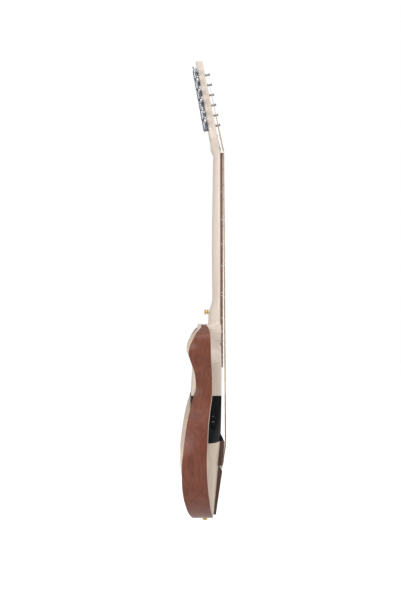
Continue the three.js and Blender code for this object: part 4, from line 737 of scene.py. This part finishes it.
# Control housing. A moulded black shell round the core with a screwed back cover and a battery door; inside
# are the battery, the circuit board, the board of the two controls and the power switch. The three jacks and
# the power button stand in its treble side.
board_green = plain("circuit_green", (0.012, 0.07, 0.035), gloss=0.35, mottle=0.3, mottle_scale=400.0)
cell_grey = plain("battery_grey", (0.045, 0.05, 0.058), gloss=0.4, mottle=0.15)
for node in ("control_housing", "back_cover", "battery_door"):
    refine(node, black_plastic, edge=0.0006)
refine("battery", cell_grey, edge=0.001)
refine("circuit_board", board_green, edge=0.0002)
refine("pot_board", steel, edge=0.0002)
refine("power_switch", steel, edge=0.0003)
housing_back_x, housing_bottom_z, housing_top_z, back_screw_inset = -68.0, 172.5, 273.5, 10.0
for name, z in [("lower", housing_bottom_z + back_screw_inset), ("upper", housing_top_z - back_screw_inset)]:
    seat = (housing_back_x - glue_gap, 0, z)
    sheet = in_row(cross_screw(seat, (-1, 0, 0), head=2.2, rise=1.1, length=14.0))
    screw = surface(f"back_screw_{name}_head", [sheet], steel)
    fit(screw, "guitar", "steel", f"back_screw_{name}")
for node in ("line_jack", "phones_jack"):
    refine(node, chrome, edge=0.0003)
refine("supply_jack", black_plastic, edge=0.0003)
refine("power_button", cast_chrome, edge=0.0004)


# Thumbwheels. The volume and the tone control are ribbed wheels of black plastic, each on the shaft of its
# potentiometer, and their rims stand out of two slots on the bass side. A grey line on each rim is its index.
wheel_radius, wheel_ribs, rib_depth, rib_flat = 12.0, 24, 0.2, 1.6
mark_half, mark_low, mark_high, mark_turns = 2.5, 11.2, 11.99, np.array([-0.035, -0.018, 0, 0.018, 0.035])


def wheel_surface(middle):
    """A thumbwheel about an axis along x: sunk sides, rounded rims, and ribs that are a flattened cosine of
    the angle."""
    side = [(2.3, 3.5), (6.0, 3.5), (6.5, 2.9), (9.6, 2.9), (10.1, 3.5), (11.2, 3.5), (11.75, 3.3),
            (11.97, 2.8)]
    profile = np.array([(r, -x) for r, x in side] + side[::-1] + [(2.3, -3.5)])
    angle = np.linspace(0, 2 * np.pi, 240, endpoint=False)
    rib = rib_depth * (1 - np.tanh(rib_flat * np.cos(wheel_ribs * angle)) / np.tanh(rib_flat))
    radius = profile[:, :1] - rib * (profile[:, :1] > 11.5)
    return in_row(np.stack([middle[0] + np.broadcast_to(profile[:, 1:], radius.shape),
                            middle[1] + radius * np.cos(angle), middle[2] + radius * np.sin(angle)], -1))


def wheel_mark(middle, rise):
    """A painted line across the rim of a thumbwheel, standing at a height over the wheel's middle."""
    turn = mark_turns + np.arcsin(rise / wheel_radius)
    y = middle[1] - np.concatenate([mark_high * np.cos(turn), mark_low * np.cos(turn[::-1])])
    z = middle[2] + np.concatenate([mark_high * np.sin(turn), mark_low * np.sin(turn[::-1])])
    x = middle[0] + np.array([-mark_half, 0, mark_half])
    return in_row(np.stack(np.broadcast_arrays(x[:, None], y, z), -1))


index_grey = plain("index_grey", (0.4, 0.4, 0.42), gloss=0.45, mottle=0.1)
for node, body, rise in [("volume_wheel", "volume_control", -7.4), ("tone_wheel", "tone_control", 7.6)]:
    low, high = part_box(node)
    middle = ((np.array(low) + np.array(high)) / 2 - drawing_zero) / mm
    wheel = surface(f"{node}_rim", [wheel_surface(middle)], black_plastic, smooth_angle=30)
    fit(wheel, body, "black_plastic", node)
    mark = surface(f"{node}_mark", [wheel_mark(middle, rise)], index_grey)
    fit(mark, body, "bone")


# Side frames. Each bow is a maple core with a mahogany skin glued on its outer face; the core stands out at
# the front as a pale line. The skin is stained and lacquered to a gloss.
mahogany = wood("mahogany", pale=(0.27, 0.079, 0.041), dark=(0.125, 0.031, 0.016),
                pore_colour=(0.06, 0.017, 0.01), line=0.3, fibre=0.5, pore=0.5, flame=0.4, gloss=0.42,
                coat=0.42, bump=0.05, line_scale=34.0, pore_scale=640.0, stretch=0.045, coat_blur=0.28,
                shine=0.2)
frame_top, block_half, frame_start_y = 430.0, 28.3, 19.0
frame_setback, frame_reach, skin_thick, core_thick, core_proud = 36.0, 89.5, 3.0, 6.0, 1.2
skin_corner, core_corner = 0.5, 1.2
pin_radius, pin_length, pin_start_y, pin_shares = 1.5, 11.2, 33.0, (0.26, 0.74)
plan_knots = np.array([
    [frame_start_y, 0], [55.95, 5.5], [84.0, 15.48], [112.06, 32.98], [139.95, 59.99], [158.98, 97.01],
    [167.0, 145.0], [149.97, 210.01], [118.07, 262.99], [108.0, 300.01], [115.97, 340.0], [128.0, 372.98],
    [118.02, 407.0], [84.99, 425.01], [frame_start_y, frame_top]])
front_knots = np.array([
    [0, 0.497], [0.026, 0.576], [0.077, 0.717], [0.142, 0.827], [0.184, 0.898], [0.33, 1], [0.421, 0.95],
    [0.502, 0.895], [0.586, 0.762], [0.633, 0.668], [0.691, 0.618], [0.767, 0.644], [0.847, 0.715],
    [0.905, 0.73], [0.95, 0.735], [0.978, 0.79], [1, 0.9]])
back_knots = np.array([
    [0, 0.682], [0.021, 0.745], [0.056, 0.836], [0.1, 0.903], [0.153, 0.961], [0.226, 0.997], [0.302, 1],
    [0.395, 0.961], [0.477, 0.905], [0.551, 0.836], [0.591, 0.785], [0.647, 0.712], [0.691, 0.65],
    [0.758, 0.68], [0.793, 0.736], [0.833, 0.8], [0.856, 0.835], [0.886, 0.82], [0.923, 0.745],
    [0.96, 0.65], [1, 0.505]])


def through(knots, at):
    """A smooth curve through knots that never overshoots them: cubics whose slope at a knot is the harmonic
    mean of its neighbours' slopes, and zero where they turn."""
    place, value = knots.T
    secant = np.diff(value) / np.diff(place)
    product, total = secant[:-1] * secant[1:], secant[:-1] + secant[1:]
    slope = np.concatenate([[0], np.where(product > 0, 2 * product / np.where(total == 0, 1, total), 0), [0]])
    k = np.clip(np.searchsorted(place, at) - 1, 0, len(place) - 2)
    span = np.diff(place)[k]
    t = np.clip((at - place[k]) / span, 0, 1)
    return (value[k] * (1 + 2 * t) * (1 - t) ** 2 + slope[k] * span * t * (1 - t) ** 2
            + value[k + 1] * t * t * (3 - 2 * t) - slope[k + 1] * span * t * t * (1 - t))


def plan_curve(count=320):
    """The bow in plan: a centripetal spline through its knots, cut where it meets the blocks and divided
    evenly along its length. Returns its points and the directions that point out of it."""
    first, last = 2 * plan_knots[:1] - plan_knots[1:2], 2 * plan_knots[-1:] - plan_knots[-2:-1]
    knots = np.concatenate([first, plan_knots, last])
    runs = []
    for before, low, high, after in zip(knots, knots[1:], knots[2:], knots[3:]):
        d0, d1, d2 = (np.linalg.norm(b - a) ** 0.5 for a, b in ((before, low), (low, high), (high, after)))
        leave = (low - before) / d0 - (high - before) / (d0 + d1) + (high - low) / d1
        arrive = (high - low) / d1 - (after - low) / (d1 + d2) + (after - high) / d2
        t = np.linspace(0, 1, 80, endpoint=False)[:, None]
        runs.append(low + leave * d1 * t + (3 * (high - low) - (2 * leave + arrive) * d1) * t ** 2
                    + (2 * (low - high) + (leave + arrive) * d1) * t ** 3)
    points = np.concatenate(runs + [plan_knots[-1:]])
    length = np.concatenate([[0], np.cumsum(np.linalg.norm(np.diff(points, axis=0), axis=1))])
    middle = len(points) // 2
    ends = [np.interp(block_half, points[:middle, 0], length[:middle]),
            np.interp(-block_half, -points[middle:, 0], length[middle:])]
    even = np.linspace(*ends, count)
    line = np.stack([np.interp(even, length, points[:, 0]), np.interp(even, length, points[:, 1])], -1)
    along = np.gradient(line, axis=0)
    along /= np.linalg.norm(along, axis=1)[:, None]
    return line, np.stack([along[:, 1], -along[:, 0]], -1)


def bow_layer(side, outside, inside, setback, corner, widest):
    """A layer of the bow: round-cornered oblongs between its front and back edge, which both follow the
    height, and between two depths under its outer face."""
    line, out = plan_curve()
    share = line[:, 1] / frame_top
    front = -frame_setback * through(front_knots, share) - setback
    back = -frame_reach * through(back_knots, share)
    blur = np.exp(-np.linspace(-2, 2, 13) ** 2)
    front, back = (np.convolve(np.pad(edge, 6, "reflect", reflect_type="odd"), blur / blur.sum(), "valid")
                   for edge in (front, back))
    turn = np.linspace(0, np.pi / 2, 5)
    outer, inner = outside + corner, inside - corner
    x, depth = [], []
    for quarter, (edge, level) in enumerate([(front - corner, outer), (back + corner, outer),
                                             (back + corner, inner), (front - corner, inner)]):
        angle = turn + quarter * np.pi / 2
        x.append(edge[:, None] + corner * np.cos(angle))
        depth.append(np.broadcast_to(level - corner * np.sin(angle), x[-1].shape))
    x, depth = np.concatenate(x, 1), np.concatenate(depth, 1)
    y = np.clip(line[:, :1] - out[:, :1] * depth, block_half, widest)
    return in_row(np.stack([x, side * y, line[:, 1:] - out[:, 1:] * depth], -1)), line, front, back


def bow_pins(side, line, front, back):
    """Two dowels at each end of a bow's core, that enter the tail and the heel block: turned rods with a
    small chamfer, set between the front and the back edge by the two shares."""
    profile = [(pin_radius, 0), (pin_radius, pin_length - 0.4), (pin_radius - 0.3, pin_length)]
    middle = len(line) // 2
    pins = []
    for end, rise, half in ((0, 1, line[:middle]), (-1, -1, line[middle:][::-1])):
        z = np.interp(pin_start_y, half[:, 0], half[:, 1]) + rise * (skin_thick + glue_gap + core_thick / 2)
        for share in pin_shares:
            start = (mix(front[end], back[end], share), side * (block_half + 1), z)
            pins.append(in_row(turned_surface(profile, start, (0, -side, 0), sides=16)))
    return pins


for name, side in [("bass", -1), ("treble", 1)]:
    widest = max(abs(corner.y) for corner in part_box(f"{name}_frame_skin")) / mm
    skin = bow_layer(side, 0.0, skin_thick, core_proud, skin_corner, widest)[0]
    outer = surface(f"{name}_bow_skin", [skin], mahogany)
    fit(outer, "guitar", "mahogany", f"{name}_frame_skin")
    outside = skin_thick + glue_gap
    core, *edges = bow_layer(side, outside, outside + core_thick, 0.0, core_corner, widest)
    inner = surface(f"{name}_bow_core", [core] + bow_pins(side, *edges), tan_maple)
    fit(inner, "guitar", "maple", f"{name}_frame_core")


# Strap buttons. Waisted brass buttons with gold plate, one on the heel and one on the tail, each held by a
# wood screw with a low domed head. The profile is in shares of a button's radius and height.
strap_radius, strap_height, strap_bore, bore_edge = 6.4, 8.2, 2.3, 0.4
heel_face_x = (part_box("heel_strap_button")[1].x - drawing_zero[0]) / mm
heel_button_z, tail_button_x = 457.5, -35.4
gold = plain("gold_plate", (0.86, 0.60, 0.26), gloss=0.16, metal=1.0, mottle=0.08, mottle_scale=300.0)
waist = np.array([[0.93, 0], [0.985, 0.02], [1, 0.06], [0.985, 0.1], [0.9, 0.17], [0.72, 0.29], [0.6, 0.4],
                  [0.555, 0.5], [0.57, 0.6], [0.66, 0.69], [0.82, 0.765], [0.95, 0.81], [0.995, 0.86],
                  [0.99, 0.91], [0.94, 0.96], [0.84, 0.99], [0.7, 1.0]])
profile = [(strap_bore, 0.0)] + [(r * strap_radius, h * strap_height) for r, h in waist]
profile += [(strap_bore + bore_edge, strap_height), (strap_bore, strap_height - bore_edge), (strap_bore, 0.0)]
for name, seat, out in [("heel", (heel_face_x, 0, heel_button_z), (-1, 0, 0)),
                        ("tail", (tail_button_x, 0, -glue_gap), (0, 0, -1))]:
    sheet = in_row(turned_surface(profile, seat, out, sides=48))
    button = surface(f"{name}_button", [sheet], gold, smooth_angle=60)
    fit(button, "guitar", "gold", f"{name}_strap_button")
    head_seat = np.asarray(seat) + np.asarray(out) * (strap_height + glue_gap)
    sheet = in_row(cross_screw(head_seat, out, head=3.8, rise=0.9, length=25.2))
    screw = surface(f"{name}_button_screw", [sheet], gold)
    fit(screw, "guitar", "gold", f"{name}_strap_screw")
